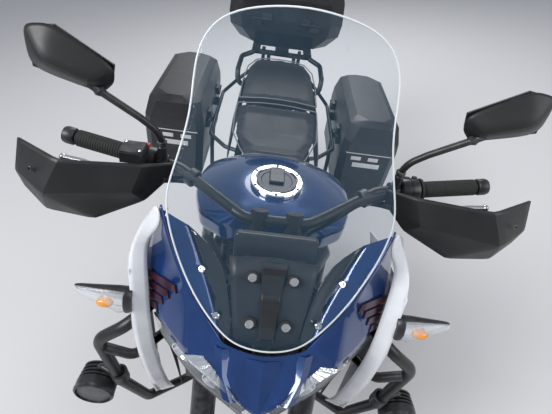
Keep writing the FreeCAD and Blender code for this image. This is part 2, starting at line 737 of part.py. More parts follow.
def cushion(rows):
    """A closed body from cross-sections."""
    rings = []
    for y, *pairs, crown in rows:
        half = [(x, y, z) for x, z in pairs]
        rings.append(half + [(0, y, crown)] + [(-x, y, z) for x, y, z in reversed(half)])
    return skin(rings)


def post_under(rows, x, y, base, top, radius=9):
    """A post from a height up to just under the body that rests on it."""
    lowered = cushion(rows)
    lowered.translate(Vector(0, 0, -s.seat_gap))
    return drum((x, y, base), (x, y, top), radius, 8).cut(lowered)


# The swingarm plates' inner and outer faces
FRAME_PLATE = 134, 148
UPPER_RAIL = [steer(14, -16, 680), steer(76, -84, 672), (152, -150, 806), (176, 30, 690),
              (141, 140, 600)]
LOWER_RAIL = [steer(14, -16, 612), steer(72, -80, 608), (152, -215, 700), (172, -70, 614),
              (141, 75, 600)]


def main_frame():
    """Tubes from the head round the engine to the swingarm plates, with the stand's lug."""
    t = s.frame_tube
    plate = [(40, 640), (150, 640), (205, 560), (205, 340), (150, 300), (95, 330), (120, 470),
             (40, 590)]
    left = fuse([tube(UPPER_RAIL, t), tube(LOWER_RAIL, t), prism(plate, *FRAME_PLATE),
                 tube([(155, -140, 800), (170, -90, 712), (168, -110, 640)], t - 5, 8)])
    head = drum(steer(0, 0, HEAD_LOW), steer(0, 0, HEAD_HIGH), s.head_radius)
    carrier = [tube([steer(0, 20, 626), (0, -500, 872), (0, -556, 880)], 17, 8),
               block((-22, -562, 850), (22, -552, 900))]
    cross = [drum((-141, 150, 625), (141, 150, 625), 12, 10),
             drum((-141, 185, 468), (141, 185, 468), 12, 10)]
    cross += [post_under(TANK_ROWS, side * 98, -240, 838, 940) for side in (1, -1)]
    clevis = [(165, 640), (160, 612), (118, 586), (98, 600), (110, 618)]
    cross += [prism(clevis, low, low + 6) for low in (-107, -55)]
    stand = [drum(STAND_PIVOT - STAND_AXIS * 26, STAND_PIVOT - STAND_AXIS * 8, 22),
             rod(STAND_PIVOT - STAND_AXIS * 20, STAND_PIVOT + STAND_AXIS * 12, 6),
             drum(STAND_PIVOT + STAND_AXIS * 7.4, STAND_PIVOT + STAND_AXIS * 14, 10, 6),
             block((134, 50, 262), (140, 130, 350))]
    whole = fuse([left, mirrored(left), head] + carrier + cross + stand)
    bore = rod(steer(0, 0, HEAD_LOW - 5), steer(0, 0, HEAD_HIGH + 5), s.head_bore)
    pivot = drum((-160, s.pivot_y, s.pivot_z), (160, s.pivot_y, s.pivot_z), 12)
    return piece("main_frame", whole.cut(bore).cut(pivot))


def swingarm():
    """Gull-shaped right arm and straight left arm, with the hollow pivot bolt."""
    run = REAR_AXLE - PIVOT
    arms = []
    # Distance from the pivot, lift of the middle, half height
    for side, rows in (
        (1, [(-38, 2, 28), (150, 0, 30), (330, -2, 26), (480, 0, 24), (575, -4, 22)]),
        (-1, [(-38, 2, 28), (150, 62, 26), (320, 58, 24), (450, 0, 24), (575, -4, 22)]),
    ):
        rings = []
        for along, lift, tall in rows:
            y = PIVOT.y + run.y * along / 545
            z = PIVOT.z + run.z * along / 545 + lift
            inner, outer = side * 106, side * 130
            rings.append([(inner, y, z - tall), (outer, y, z - tall), (outer, y, z + tall),
                          (inner, y, z + tall)])
        arms.append(skin(rings))
    y, z = s.pivot_y, s.pivot_z
    body = [block((-108, 232, 342), (108, 338, 402)),
            block((-108, y, z - 18), (-70, 240, z + 18)), block((40, y, z - 18), (108, 240, z + 18)),
            drum((-120, y, z), (120, y, z), 21)]
    clevis = [(310, 400), (345, 400), (336, 470), (312, 470)]
    body += [prism(clevis, low, low + 6) for low in (-105, -57)]
    pin = [drum((-149, y, z), (149, y, z), 11.8), drum((-154, y, z), (-148.5, y, z), 18, 6),
           drum((148.5, y, z), (154, y, z), 18, 6)]
    far = REAR_AXLE
    axle = rod((-134, far.y, far.z), (134, far.y, far.z), s.axle_radius)
    spacers = [drum((side * (REAR_HUB / 2 + 1), far.y, far.z), (side * 108, far.y, far.z), 17)
               for side in (1, -1)]
    hollow = drum((-170, y, z), (170, y, z), s.axle_radius - 3, 6)
    spools = [rod((side * 118, far.y - 90, 318), (side * 140, far.y - 90, 318), 5)
              for side in (1, -1)]
    made = fuse(arms + body + pin + [axle] + spacers)
    return piece("swingarm", made.cut(hollow).cut(Part.makeCompound(spools)))


def turned(start, way, profile, sides):
    """A many-sided turned piece: (distance, radius) rows along a direction."""
    start, way = Vector(*start), Vector(*way).normalize()
    rings = []
    for distance, radius in profile:
        wire = ngon(start + way * distance, way, radius, sides)
        rings.append([vertex.Point for vertex in wire.OrderedVertexes])
    return skin(rings)


def shock():
    """The lay-down damper and spring on the right."""
    top, foot = Vector(-78, 112, 600), Vector(-78, 324, 452)
    rows = [(18, 13), (30, 13), (30.5, 32), (42, 32)]
    for i in range(6):
        rows += [(46 + 24 * i, 22), (58 + 24 * i, 31)]
    rows += [(188, 22), (190.5, 31), (202, 31), (202.5, 11), (250, 11)]
    gap = s.seat_gap
    ends = [drum((gap - 101, top.y, top.z), (-55 - gap, top.y, top.z), 17),
            drum((gap - 99, foot.y, foot.z), (-57 - gap, foot.y, foot.z), 15)]
    return piece("shock", fuse([turned(top, foot - top, rows, 8)] + ends))


def engine():
    """Parallel twin as a plain closed mass with covers, cylinders and drive sprocket."""
    case = [(-190, 330), (-150, 250), (60, 245), (112, 300), (112, 440), (60, 480),
            (-150, 480), (-195, 420)]
    parts = [prism(case, -120, 75),
             prism(case[:2] + [(40, 250), (40, 470), (-150, 470), (-190, 420)], 70, 122),
             block((-90, -120, 226), (90, 40, 250))]
    upright = Placement(Vector(0, -80, 455), Rotation(X_AXIS, 14))
    blocks = [((-108, -96, 0), (108, 96, 150)), ((-116, -96, 150), (116, 100, 250)),
              ((-108, -80, 250), (108, 84, 288))]
    blocks += [((-114, -101, 45 + 24 * i), (114, 101, 52 + 24 * i)) for i in range(4)]
    for low, high in blocks:
        part = block(low, high)
        part.Placement = upright
        parts.append(part)
    # Covers: side, y, z, inner and outer place, radius
    for side, y, z, inner, outer, radius in (
        (1, -90, 365, 118, 166, 80), (1, -90, 365, 165, 176, 58), (-1, -10, 372, 118, 170, 90),
        (-1, -10, 372, 169, 182, 64), (-1, -125, 360, 118, 158, 60),
    ):
        parts.append(drum((side * inner, y, z), (side * outer, y, z), radius, 14))
    parts.append(drum((60, 105, 385), (110, 105, 385), 14, 8))
    parts.append(drum((s.chain_x - 3, 105, 385), (s.chain_x + 3, 105, 385),
                      pitch_radius(s.front_teeth) - 7.8, 15))
    return piece("engine", fuse(parts))


def chain():
    """The drive chain as one closed loop: a band of rollers between two rows of plates."""
    rear = Vector(0, REAR_AXLE.y, REAR_AXLE.z)
    front = Vector(0, 105, 385)
    big, small = pitch_radius(s.rear_teeth), pitch_radius(s.front_teeth)
    span = rear - front
    slope = math.atan2(span.z, span.y)
    spread = math.asin((big - small) / span.Length)
    top = math.pi / 2 + spread

    def outline(offset):
        corners = []
        for centre, radius, first, last, steps in (
            (rear, big, top, -top, 11), (front, small, -top, top - 2 * math.pi, 5),
        ):
            for i in range(steps + 1):
                a = slope + first + (last - first) * i / steps
                corners.append(centre + Vector(0, math.cos(a), math.sin(a)) * (radius + offset))
        return Part.Face(Part.makePolygon(corners + corners[:1]))

    bands = []
    for reach, low, high in ((7.2, -9, -3.5), (4.5, -4, 4), (7.2, 3.5, 9)):
        ring = outline(reach).cut(outline(-reach)).extrude(X_AXIS * (high - low))
        ring.translate(X_AXIS * (s.chain_x + low))
        bands.append(ring)
    return piece("chain", fuse(bands))


def radiator():
    """Finned core between two side tanks, ahead of the cylinders."""
    core = block((-148, -14, 0), (148, 14, 250))
    for i in range(8):
        core = core.cut(block((-140, -16, 14 + 29 * i), (140, -8, 28 + 29 * i)))
    tanks = [block((side * 160 - 14, -18, -6), (side * 160 + 14, 18, 256)) for side in (1, -1)]
    made = fuse([core] + tanks)
    made.Placement = Placement(Vector(0, -322, 470), Rotation(X_AXIS, 8))
    lugs = [drum((side * 104, -354, 712), (side * 104, -297, 763), 8, 8) for side in (1, -1)]
    rails = both(tube(LOWER_RAIL, s.frame_tube + s.seat_gap))
    return piece("radiator", fuse([made] + lugs).cut(rails))


def exhaust():
    """Two header pipes into the box silencer under the engine, its outlet on the right."""
    pipes = [tube([(x, -221.85, 625.64), (x, -260, 616), (x, -274, 560), (x, -270, 380),
                   (x * 0.9, -226, 240), (x * 0.7, -130, 203), (x * 0.6, -50, 200)], 18, 10)
             for x in (62, -62)]
    # Lengthwise place, left and right side, floor and roof
    rows = [(-60, 60, -60, 178, 219), (-20, 92, -110, 166, 219), (70, 96, -150, 164, 220),
            (160, 96, -165, 168, 240), (236, 80, -168, 186, 262)]
    box = skin([[(r, y, lo), (l, y, lo), (l, y, hi), (r, y, hi)] for y, l, r, lo, hi in rows])
    outlet = drum((-150, 222, 226), (-206, 262, 238), 26).cut(
        drum((-180, 243.4, 232.4), (-212, 266.3, 239.3), 21))
    return piece("exhaust", fuse(pipes + [box, outlet]))


def belly_pan():
    """The guard under the engine's front."""
    points = {
        "a": (122, -244, 330), "b": (112, -262, 250), "c": (90, -222, 160), "d": (84, -72, 150),
        "e": (136, -120, 285), "f": (0, -274, 255), "g": (0, -230, 156), "h": (0, -74, 148),
    }
    faces = [("a", "c", "b"), ("a", "e", "c"), ("e", "d", "c"), ("b", "c", "g", "f"),
             ("c", "d", "h", "g")]
    return piece("belly_pan", shell(points, faces, 3, symmetric=True))


GRAB_RAIL = [(104, 702, 846), (168, 702, 866), (172, 724, 912), (166, 826, 930), (122, 868, 938)]


def rear_subframe():
    """Rear frame tubes, top-case rack, grab rails and the panniers' holders."""
    t, r = s.sub_tube, s.rack_tube
    rails = [
        ([(FRAME_PLATE[0] - s.seat_gap - t, 173, 603), (121, 215, 768), (112, 480, 820), (96, 820, 862), (90, 955, 862)], t),
        ([(124, 186, 545), (122, 420, 712), (102, 700, 832), (98, 770, 850)], t - 2),
        ([(120, 424, 714), (180, 450, 712), (246, 520, 718), (246, 900, 722), (190, 966, 762),
          (150, 966, 800), (94, 954, 858)], r),
        ([(246, 600, 718), (244, 560, 640), (232, 500, 540), (170, 426, 466)], r),
        (GRAB_RAIL, 10),
    ]
    left = fuse([tube(path, radius, TUBE_SIDES, 0.2) for path, radius in rails])
    plate = block((-130, 862, 934), (130, 1130, 944)).cut(Part.makeCompound(
        [block((low, 900, 930), (low + 65, 1090, 950)) for low in (-95, 30)]))
    rest = [plate, drum((-94, 955, 862), (94, 955, 862), r, 8)]
    rest += [drum((side * 80, 955, 864), (side * 80, 955, 936), r, 8) for side in (1, -1)]
    rest += [tube([(side * 55, 866, 862), (side * 55, 872, 900), (side * 55, 900, 938)], r, 6)
             for side in (1, -1)]
    rest += [drum((-98, 866, 862), (98, 866, 862), r, 8)]
    rest += [post_under(RIDER_ROWS, side * 110, 330, 794, 845) for side in (1, -1)]
    rest += [post_under(PILLION_ROWS, side * x, y, z, 895) for side in (1, -1)
             for x, y, z in ((100, 530, 824), (92, 730, 848))]
    return piece("rear_subframe", fuse([left, mirrored(left)] + rest))


def round_cap(name, radius, base, height):
    """A flat-sided disc round the filler's middle, its radius an expression of the sheet."""
    return primitive("Prism", name, (0, s.cap_y, base),
                     {"Circumradius": radius, "Polygon": "Sizes.cap_sides", "Height": height})


def cap_block(name, low, high):
    """A block between two corners, as a primitive."""
    sizes = {edge: f"{b - a} mm" for edge, a, b in zip(("Length", "Width", "Height"), low, high)}
    return primitive("Box", name, low, sizes)


CAP_HINGE = Vector(0, s.cap_y - s.cap_radius - 4, s.cap_z + 3)


def hinge_pin(name, radius, half):
    """A round bar along the cap's hinge."""
    return primitive("Cylinder", name, CAP_HINGE - X_AXIS * half,
                     {"Radius": radius, "Height": f"{2 * half} mm"}, Rotation(Y_AXIS, 90))


def fuel_tank():
    """The tank: broad at the knees, narrow at the seat, with the filler's well."""
    hull = doc.addObject("Part::Feature", "tank_hull")
    hull.Shape = cushion(TANK_ROWS)
    well = round_cap("tank_well", "Sizes.cap_ring + Sizes.seat_gap", s.cap_z - 12, "60 mm")
    return keep(less("tank", hull, well), "fuel_tank", Placement())


def filler_ring():
    """The bright ring round the filler, with the flap's well inside it."""
    z = s.cap_z
    ring = round_cap("ring_outside", "Sizes.cap_ring", z - 12 + s.seat_gap, "18 mm")
    well = round_cap("ring_well", "Sizes.cap_radius + 2", z - 1, "8 mm")
    lug = cap_block("ring_lug", (-16, CAP_HINGE.y - 6, z - 1), (16, CAP_HINGE.y + 7, z + 7))
    open_ring = less("ring_open", ring, joined("ring_room", [well, lug]))
    return keep(joined("ring", [open_ring, hinge_pin("ring_pin", "2 mm", 17)]), "filler_ring",
                Placement())


def tank_cap():
    """The hinged, lockable flap."""
    z = s.cap_z
    flap = round_cap("cap_flap", "Sizes.cap_radius", z - 0.6, "5 mm")
    cover = cap_block("cap_key_cover", (-17, s.cap_y - 12, z + 4), (17, s.cap_y + 40, z + 10))
    tongue = cap_block("cap_tongue", (-9, CAP_HINGE.y, z + 0.4), (9, CAP_HINGE.y + 8, z + 4.4))
    solid = joined("cap_solid", [flap, cover, tongue, hinge_pin("cap_knuckle", "3.6 mm", 9)])
    bore = hinge_pin("cap_bore", "2 + Sizes.bearing_play", 14)
    return keep(less("cap", solid, bore), "tank_cap", Placement())


def seats():
    """Rider's saddle and the raised pillion pad."""
    piece("rider_seat", cushion(RIDER_ROWS))
    return piece("pillion_seat", cushion(PILLION_ROWS))


def tail_cover():
    """Side covers under the seats."""
    points = {
        "a": (146, 165, 812), "b": (152, 260, 834), "c": (156, 440, 844), "d": (148, 640, 876),
        "e": (122, 850, 882), "f": (148, 190, 748), "g": (156, 300, 762), "h": (150, 480, 790),
        "i": (134, 680, 826), "j": (116, 870, 850),
    }
    faces = ["abgf", "bchg", "cdih", "deji"]
    cover = shell(points, [f[::-1] for f in faces], s.panel_wall)
    return piece("tail_cover", both(cover.cut(tube(GRAB_RAIL, 10 + s.seat_gap, TUBE_SIDES, 0.2))))


def rear_fender():
    """Tail lamp, plate holder with a bare plate and the rear indicators."""
    parts = [tube([(0, 880, 815), (0, 950, 790), (0, 992, 735), (0, 994, 640)], 18, 6),
             block((-95, 1000, 600), (95, 1006, 740)), block((-70, 868, 795), (70, 946, 832)),
             drum((-140, 985, 752), (140, 985, 752), 7, 6)]
    parts += [skin([[(side * x, 985 - d, 752 - t), (side * x, 985 + d, 752 - t),
                     (side * x, 985 + d, 752 + t), (side * x, 985 - d, 752 + t)]
                    for x, d, t in ((100, 18, 16), (165, 12, 10))]) for side in (1, -1)]
    parts.append(block((-26, 860, 826), (26, 872, 862)))
    holes = [rod((side * 75, 998, 715), (side * 75, 1008, 715), 3.5) for side in (1, -1)]
    holes.append(drum((-98, 866, 862), (98, 866, 862), s.rack_tube + s.seat_gap, 8))
    return piece("rear_fender", fuse(parts).cut(Part.makeCompound(holes)))


def hugger():
    """The short mudguard on the swingarm over the rear tyre."""
    r, half = s.rear_tyre_radius + 12, 74
    section = [(-half, r - 16), (-half + 16, r + 4), (half - 16, r + 4), (half, r - 16)]
    cover = arch(REAR_AXLE, section, 168, 100, 6, s.panel_wall)
    edge = 106 - s.seat_gap
    stays = [tube([(side * 68, 412, 390), (side * 84, 406, z), (side * edge, 406, z)], 6, 6, 0)
             for side, z in ((1, 360), (-1, 402))]
    return piece("hugger", fuse([cover] + stays))


# Bodywork and lights


# The screen's left half: corners and faces
SCREEN = ({
    "a": (0, -533, 946), "b": (62, -521, 952), "c": (124, -476, 994), "d": (168, -430, 1068),
    "e": (189, -396, 1138), "f": (178, -372, 1180), "g": (156, -318, 1262),
    "h": (164, -272, 1330), "i": (130, -238, 1392), "j": (0, -240, 1412),
    "k": (0, -384, 1172), "l": (0, -456, 1048), "m": (84, -386, 1168), "n": (96, -292, 1300),
    "o": (62, -460, 1042),
}, [("a", "b", "o", "l"), ("b", "c", "o"), ("c", "d", "o"), ("d", "m", "o"), ("d", "e", "m"),
    ("o", "m", "k", "l"), ("e", "f", "m"), ("f", "g", "m"), ("g", "n", "m"), ("g", "h", "n"),
    ("h", "i", "n"), ("i", "j", "n"), ("n", "j", "k", "m")])


def windscreen():
    """The tall clear screen: a flat middle and two creased wings."""
    return piece("windscreen", shell(*SCREEN, s.screen_wall, symmetric=True))


def screen_panel():
    """The black panel behind the screen, with its raised middle channel."""
    points = {
        "a": (0, -519, 944), "b": (54, -509, 950), "c": (76, -433, 1066), "d": (0, -431, 1072),
        "e": (20, -517, 945), "f": (26, -432, 1070),
    }
    faces = [("a", "e", "f", "d"), ("e", "b", "c", "f")]
    out = Vector(0, -128, 88).normalize()
    bosses = [drum(Vector(side * x, y, z) - out * 2, Vector(side * x, y, z) + out * long, 7, 8)
              for side in (1, -1) for x, y, z, long in ((30, -494, 980, 8), (34, -450, 1044, 5))]
    bosses = Part.makeCompound(bosses).cut(shell(*SCREEN, s.screen_wall + s.seat_gap, True))
    return piece("screen_panel", fuse([shell(points, faces, 3.5, symmetric=True), bosses]))


def nose_cowl():
    """The blue nose: a beak between the lamps and cheeks up to the screen's wings."""
    points = {
        "a": (0, -539, 938), "b": (70, -519, 946), "c": (134, -464, 1000), "d": (178, -418, 1068),
        "e": (196, -388, 1120), "f": (230, -394, 975), "g": (206, -448, 902), "h": (134, -524, 909),
        "i": (30, -592, 894), "j": (0, -606, 870), "k": (226, -360, 1010),
    }
    faces = [("a", "b", "i", "j"), ("b", "h", "i"), ("b", "c", "h"), ("c", "g", "h"),
             ("c", "f", "g"), ("c", "d", "k", "f"), ("d", "e", "k")]
    cover = shell(points, [f[::-1] for f in faces], s.panel_wall, symmetric=True)
    post = block((-10, -556, 900 + s.seat_gap), (10, -548, 918))
    return piece("nose_cowl", fuse([cover, post]))


def headlights():
    """Twin swept lamps under the cowl."""
    points = {"a": (12, -594, 866), "b": (30, -588, 888), "c": (132, -522, 905),
              "d": (204, -446, 898), "e": (196, -452, 852), "f": (120, -528, 838),
              "g": (24, -586, 826)}
    faces = [("a", "b", "g"), ("b", "c", "f", "g"), ("c", "d", "e", "f")]
    lamp = shell(points, [f[::-1] for f in faces], 5)
    lug = block((12, -585, 846), (22, -562 - s.seat_gap, 860))
    return piece("headlights", both(fuse([lamp, lug])))


def hoop_path():
    """The left crash bar's bends, from the frame out and down to the engine."""
    return [(158, -221, 703), (208, -340, 850), (246, -450, 872), (322, -450, 800),
            (300, -440, 620), (262, -395, 450), (196, -304, 362), (104, -236, 362)]


def brace_path():
    """The left crash bar's brace, back to the frame."""
    return [(314, -448, 770), (256, -446, 745), (214, -372, 722), (180, -262, 700)]


def past_bars(panel):
    """A panel with room for the crash bar that passes through it."""
    room = s.crash_tube + s.seat_gap
    return panel.cut(tube(hoop_path()[:5], room)).cut(tube(brace_path(), room - 2))


def indicator(grow=0):
    """The left front indicator: an arrow tapering outwards."""
    rings = []
    for x, y, z, deep, tall in ((238, -446, 940, 22, 28), (264, -450, 940, 20, 34),
                                (345, -438, 946, 9, 8)):
        deep, tall = deep + grow, tall + grow
        rings.append([(x, y - deep, z - tall), (x, y + deep, z - tall), (x, y + deep, z + tall),
                      (x, y - deep, z + tall)])
    return skin(rings)


def wing_panels():
    """The pearl side wings that carry the indicators."""
    points = {
        "a": (250, -150, 905), "b": (258, -240, 940), "c": (262, -322, 950), "d": (258, -392, 1006),
        "e": (248, -430, 1000), "f": (240, -456, 950), "g": (240, -470, 880), "h": (228, -482, 780),
        "i": (208, -478, 660), "j": (200, -440, 600), "k": (232, -380, 660), "l": (256, -320, 770),
        "m": (262, -240, 848), "n": (256, -180, 872), "o": (272, -372, 900), "p": (258, -430, 790),
    }
    faces = ["abmn", "bcom", "cdeo", "efgo", "ghpo", "hip", "ijkp", "klop", "lmo"]
    panel = past_bars(shell(points, faces, s.panel_wall)).cut(indicator(s.seat_gap))
    return piece("wing_panels", both(panel))


def inner_panels():
    """Black liners between the nose, the wings and the tank."""
    points = {
        "a": (184, -370, 1094), "b": (214, -342, 996), "c": (222, -378, 950), "d": (204, -436, 880),
        "e": (196, -446, 760), "f": (176, -430, 640), "g": (214, -330, 700), "h": (240, -300, 840),
        "i": (240, -160, 880), "j": (230, -150, 900), "k": (238, -300, 935),
    }
    faces = ["acb", "bchk", "cdh", "degh", "efg", "hijk"]
    return piece("inner_panels", both(past_bars(shell(points, faces, s.panel_wall))))


def dash():
    """The instrument housing behind the screen's panel, on two short arms."""
    housing = block((-72, -12, -32), (72, 12, 32))
    housing.Placement = Placement(Vector(0, -404, 1060), Rotation(X_AXIS, -20))
    arms = [block((side * 45 - 9, -434.3, 1046), (side * 45 + 9, -408, 1058)) for side in (1, -1)]
    return piece("dash", fuse([housing] + arms))


def front_indicators():
    """Arrow-shaped indicators on the wings."""
    return piece("front_indicators", both(indicator()))


def crash_bars():
    """Round-tube hoops outside the fairing, down to the engine's sides."""
    hoop = tube(hoop_path(), s.crash_tube)
    brace = tube(brace_path(), s.crash_tube - 2)
    foot = drum((104, -252, 362), (104, -192.6 - s.seat_gap, 362), 14, 10)
    return piece("crash_bars", both(fuse([hoop, brace, foot]).cut(
        tube(LOWER_RAIL, s.frame_tube + s.seat_gap))))


def spot_lamps():
    """Round auxiliary lamps with finned backs on the crash bars."""
    x, y, z = 360, -466, 585
    profile = [(0, 42), (30, 46), (31, 37), (40, 37), (41, 44), (46, 44), (47, 35), (56, 35),
               (57, 41), (62, 41), (72, 26)]
    lamp = turned((x, y, z), Y_AXIS, profile, 10)
    arm = tube([(x, y + 50, z + 30), (x - 14, y + 40, z + 62), (x - 50, y + 26, z + 58)], 6.5, 6)
    clamp = drum((298, -439, z + 42), (301, -440.5, z + 72), s.crash_tube + 6, 10)
    return piece("spot_lamps", both(fuse([lamp, arm, clamp]).cut(
        tube(hoop_path(), s.crash_tube + s.seat_gap))))


def footrests():
    """Rider and pillion pegs with their plates and the foot pedals."""
    plate = prism([(120, 420), (215, 430), (300, 480), (420, 470), (430, 430), (300, 400),
                   (235, 320), (140, 312)], 150.3, 158.3)
    parts = [plate, drum((156, 205, 338), (172, 205, 338), 12, 8),
             block((168, 190, 330), (252, 222, 346)), drum((156, 415, 448), (164, 415, 448), 10, 8),
             block((162, 404, 440), (240, 428, 454)),
             tube([(156, 190, 322), (196, 130, 318), (198, 22, 320)], 6, 6),
             drum((192, 28, 320), (232, 28, 320), 7, 8)]
    hole = drum((140, s.pivot_y, s.pivot_z), (170, s.pivot_y, s.pivot_z), 20, 8)
    return piece("footrests", both(fuse(parts).cut(hole)))


# Luggage


def tub(x0, x1, y0, y1, rows):
    """A hollow open tub or lid with cut corners, from rows of height, inset and cut."""
    def ring(z, inset, cut, wall):
        left, right, near, far = x0 + inset + wall, x1 - inset - wall, y0 + inset + wall, y1 - inset - wall
        return [(left + cut, near, z), (right - cut, near, z), (right, near + cut, z),
                (right, far - cut, z), (right - cut, far, z), (left + cut, far, z),
                (left, far - cut, z), (left, near + cut, z)]

    wall = s.case_wall
    outer = skin([ring(z, inset, cut, 0) for z, inset, cut in rows])
    floor_first = rows[0][1] >= rows[-1][1]
    heights = [z for z, _inset, _cut in rows]
    if floor_first:
        heights[0] += wall
        heights[-1] += 1
    else:
        heights[-1] -= wall
        heights[0] -= 1
    inner = skin([ring(z, inset, cut, wall) for z, (_z, inset, cut) in zip(heights, rows)])
    return outer.cut(inner)


PANNIER_SEAM = s.pannier_base + s.pannier_height
PANNIER_HINGE = Vector(s.pannier_inner - 9, 0, PANNIER_SEAM)
TOP_SEAM = s.top_base + s.top_height
TOP_HINGE = Vector(0, s.top_front - 9, TOP_SEAM)
PANNIER_KNUCKLES = (s.pannier_front + 90, s.pannier_front + s.pannier_length - 130)
TOP_KNUCKLES = (-140, 100)


def panniers():
    """Hard side cases, open at the top under their lids."""
    x0, x1 = s.pannier_inner, s.pannier_inner + s.pannier_width
    y0, y1 = s.pannier_front, s.pannier_front + s.pannier_length
    base, hinge = s.pannier_base, PANNIER_HINGE
    parts = [tub(x0, x1, y0, y1, [(base, 26, 30), (base + 60, 4, 26), (PANNIER_SEAM, 0, 24)])]
    parts += [block((x0 - 14.65, y, 708), (x0 + 2, y + 34, 732)) for y in (y0 + 170, y1 - 200)]
    for y in PANNIER_KNUCKLES:
        parts.append(drum((hinge.x, y, hinge.z), (hinge.x, y + 40, hinge.z), 6, 8))
        parts.append(block((hinge.x - 3, y, hinge.z - 26), (x0 + 2, y + 40, hinge.z - 4)))
    whole = fuse(parts)
    piece("pannier_left", whole)
    return piece("pannier_right", mirrored(whole))


def pannier_lids():
    """Lids hinged along the panniers' inner edges."""
    x0, x1 = s.pannier_inner, s.pannier_inner + s.pannier_width
    y0, y1 = s.pannier_front, s.pannier_front + s.pannier_length
    low, top, hinge = PANNIER_SEAM + s.lid_gap, PANNIER_SEAM + s.pannier_lid, PANNIER_HINGE
    parts = [tub(x0, x1, y0, y1, [(low, 0, 24), (low + 40, 2, 26), (top - 18, 16, 34),
                                  (top, 44, 40)])]
    for y, step in zip(PANNIER_KNUCKLES, (40.4, -40.4)):
        y += step
        parts.append(drum((hinge.x, y, hinge.z), (hinge.x, y + 40, hinge.z), 6, 8))
        parts.append(block((hinge.x - 3, y, hinge.z + 4), (x0 + 3, y + 40, hinge.z + 24)))
    whole = fuse(parts)
    piece("pannier_lid_left", whole)
    return piece("pannier_lid_right", mirrored(whole))


def top_case():
    """The rear case's lower half on the rack."""
    half = s.top_width / 2
    y0, y1 = s.top_front, s.top_front + s.top_length
    parts = [tub(-half, half, y0, y1, [(s.top_base, 46, 60), (s.top_base + 60, 6, 56),
                                       (TOP_SEAM, 0, 54)]),
             block((-120, y0 + 60, 944.4), (120, y0 + 240, s.top_base + 1))]
    for x in TOP_KNUCKLES:
        parts.append(drum((x, TOP_HINGE.y, TOP_HINGE.z), (x + 40, TOP_HINGE.y, TOP_HINGE.z), 6, 8))
        parts.append(block((x, TOP_HINGE.y - 3, TOP_HINGE.z - 26), (x + 40, y0 + 3, TOP_HINGE.z - 4)))
    return piece("top_case", fuse(parts))


def top_case_lid():
    """The rear case's domed lid, hinged at its front."""
    half = s.top_width / 2
    y0, y1 = s.top_front, s.top_front + s.top_length
    low, top = TOP_SEAM + s.lid_gap, TOP_SEAM + s.top_lid
    parts = [tub(-half, half, y0, y1, [(low, 0, 54), (low + 80, 6, 56), (top - 40, 26, 64),
                                       (top, 70, 80)])]
    for x, step in zip(TOP_KNUCKLES, (40.4, -40.4)):
        x += step
        parts.append(drum((x, TOP_HINGE.y, TOP_HINGE.z), (x + 40, TOP_HINGE.y, TOP_HINGE.z), 6, 8))
        parts.append(block((x, TOP_HINGE.y - 3, TOP_HINGE.z + 4), (x + 40, y0 + 4, TOP_HINGE.z + 24)))
    return piece("top_case_lid", fuse(parts))


def side_stand():
    """The prop: a leg on a pivot bolt with a wide foot flat on the ground."""
    across, ahead = 128, -78
    x = STAND_PIVOT.x + across
    foot = Vector(x, STAND_PIVOT.y + ahead, x * math.tan(LEAN) - SINK / math.cos(LEAN))
    way = (STAND_PIVOT - foot).normalize()
    leg = fuse([drum(STAND_PIVOT - way * 28, foot + way * 10, s.stand_radius, 10),
                drum(STAND_PIVOT - way * 14, STAND_PIVOT - way * 40, 6.8, 8)])
    eye = drum(STAND_PIVOT - STAND_AXIS * 7, STAND_PIVOT + STAND_AXIS * 7, 20)
    sole = drum((0, 0, 0), (0, 0, 8), 34, 16)
    sole.Placement = Placement(foot, Rotation(Y_AXIS, -s.lean))
    tail = drum(foot + way * 22, foot + Vector(46, 8, 32), 5, 6)
    hole = rod(STAND_PIVOT - STAND_AXIS * 20, STAND_PIVOT + STAND_AXIS * 20, 6.05)
    return piece("side_stand", fuse([leg, eye, sole, tail]).cut(hole))


for build in (rear_sprocket, fork, triple_clamps, handlebar, grips, hand_controls, handguards,
              mirrors, front_fender, front_calipers, main_frame, swingarm, shock, engine, chain,
              radiator, exhaust, belly_pan, rear_subframe, fuel_tank, filler_ring, tank_cap,
              seats, tail_cover, rear_fender, hugger, windscreen, screen_panel, nose_cowl,
              headlights, wing_panels, inner_panels, dash, front_indicators, crash_bars,
              spot_lamps, footrests, panniers, pannier_lids, top_case, top_case_lid, side_stand):
    build()

doc.recompute()

for obj in doc.Objects:
    if "Invalid" in obj.State or "Error" in obj.State:
        raise SystemExit(f"{obj.Label} failed to build")

os.makedirs("parts", exist_ok=True)
box = FreeCAD.BoundBox()
for obj in PIECES:
    shape = obj.Shape
    if shape.isNull() or not shape.isValid() or not shape.Solids:
        raise SystemExit(f"{obj.Label} is not a valid solid")
    box.add(shape.BoundBox)
    shape.exportStep(f"parts/{obj.Label}.step")


def report(name, point, direction):
    """Print a point and a direction in the leaned frame, in metres."""
    at = LEANED.multVec(point) * 0.001
    way = LEANED.Rotation.multVec(direction)
    print(f"AXIS {name} {at.x:.6f} {at.y:.6f} {at.z:.6f} {way.x:.7f} {way.y:.7f} {way.z:.7f}")


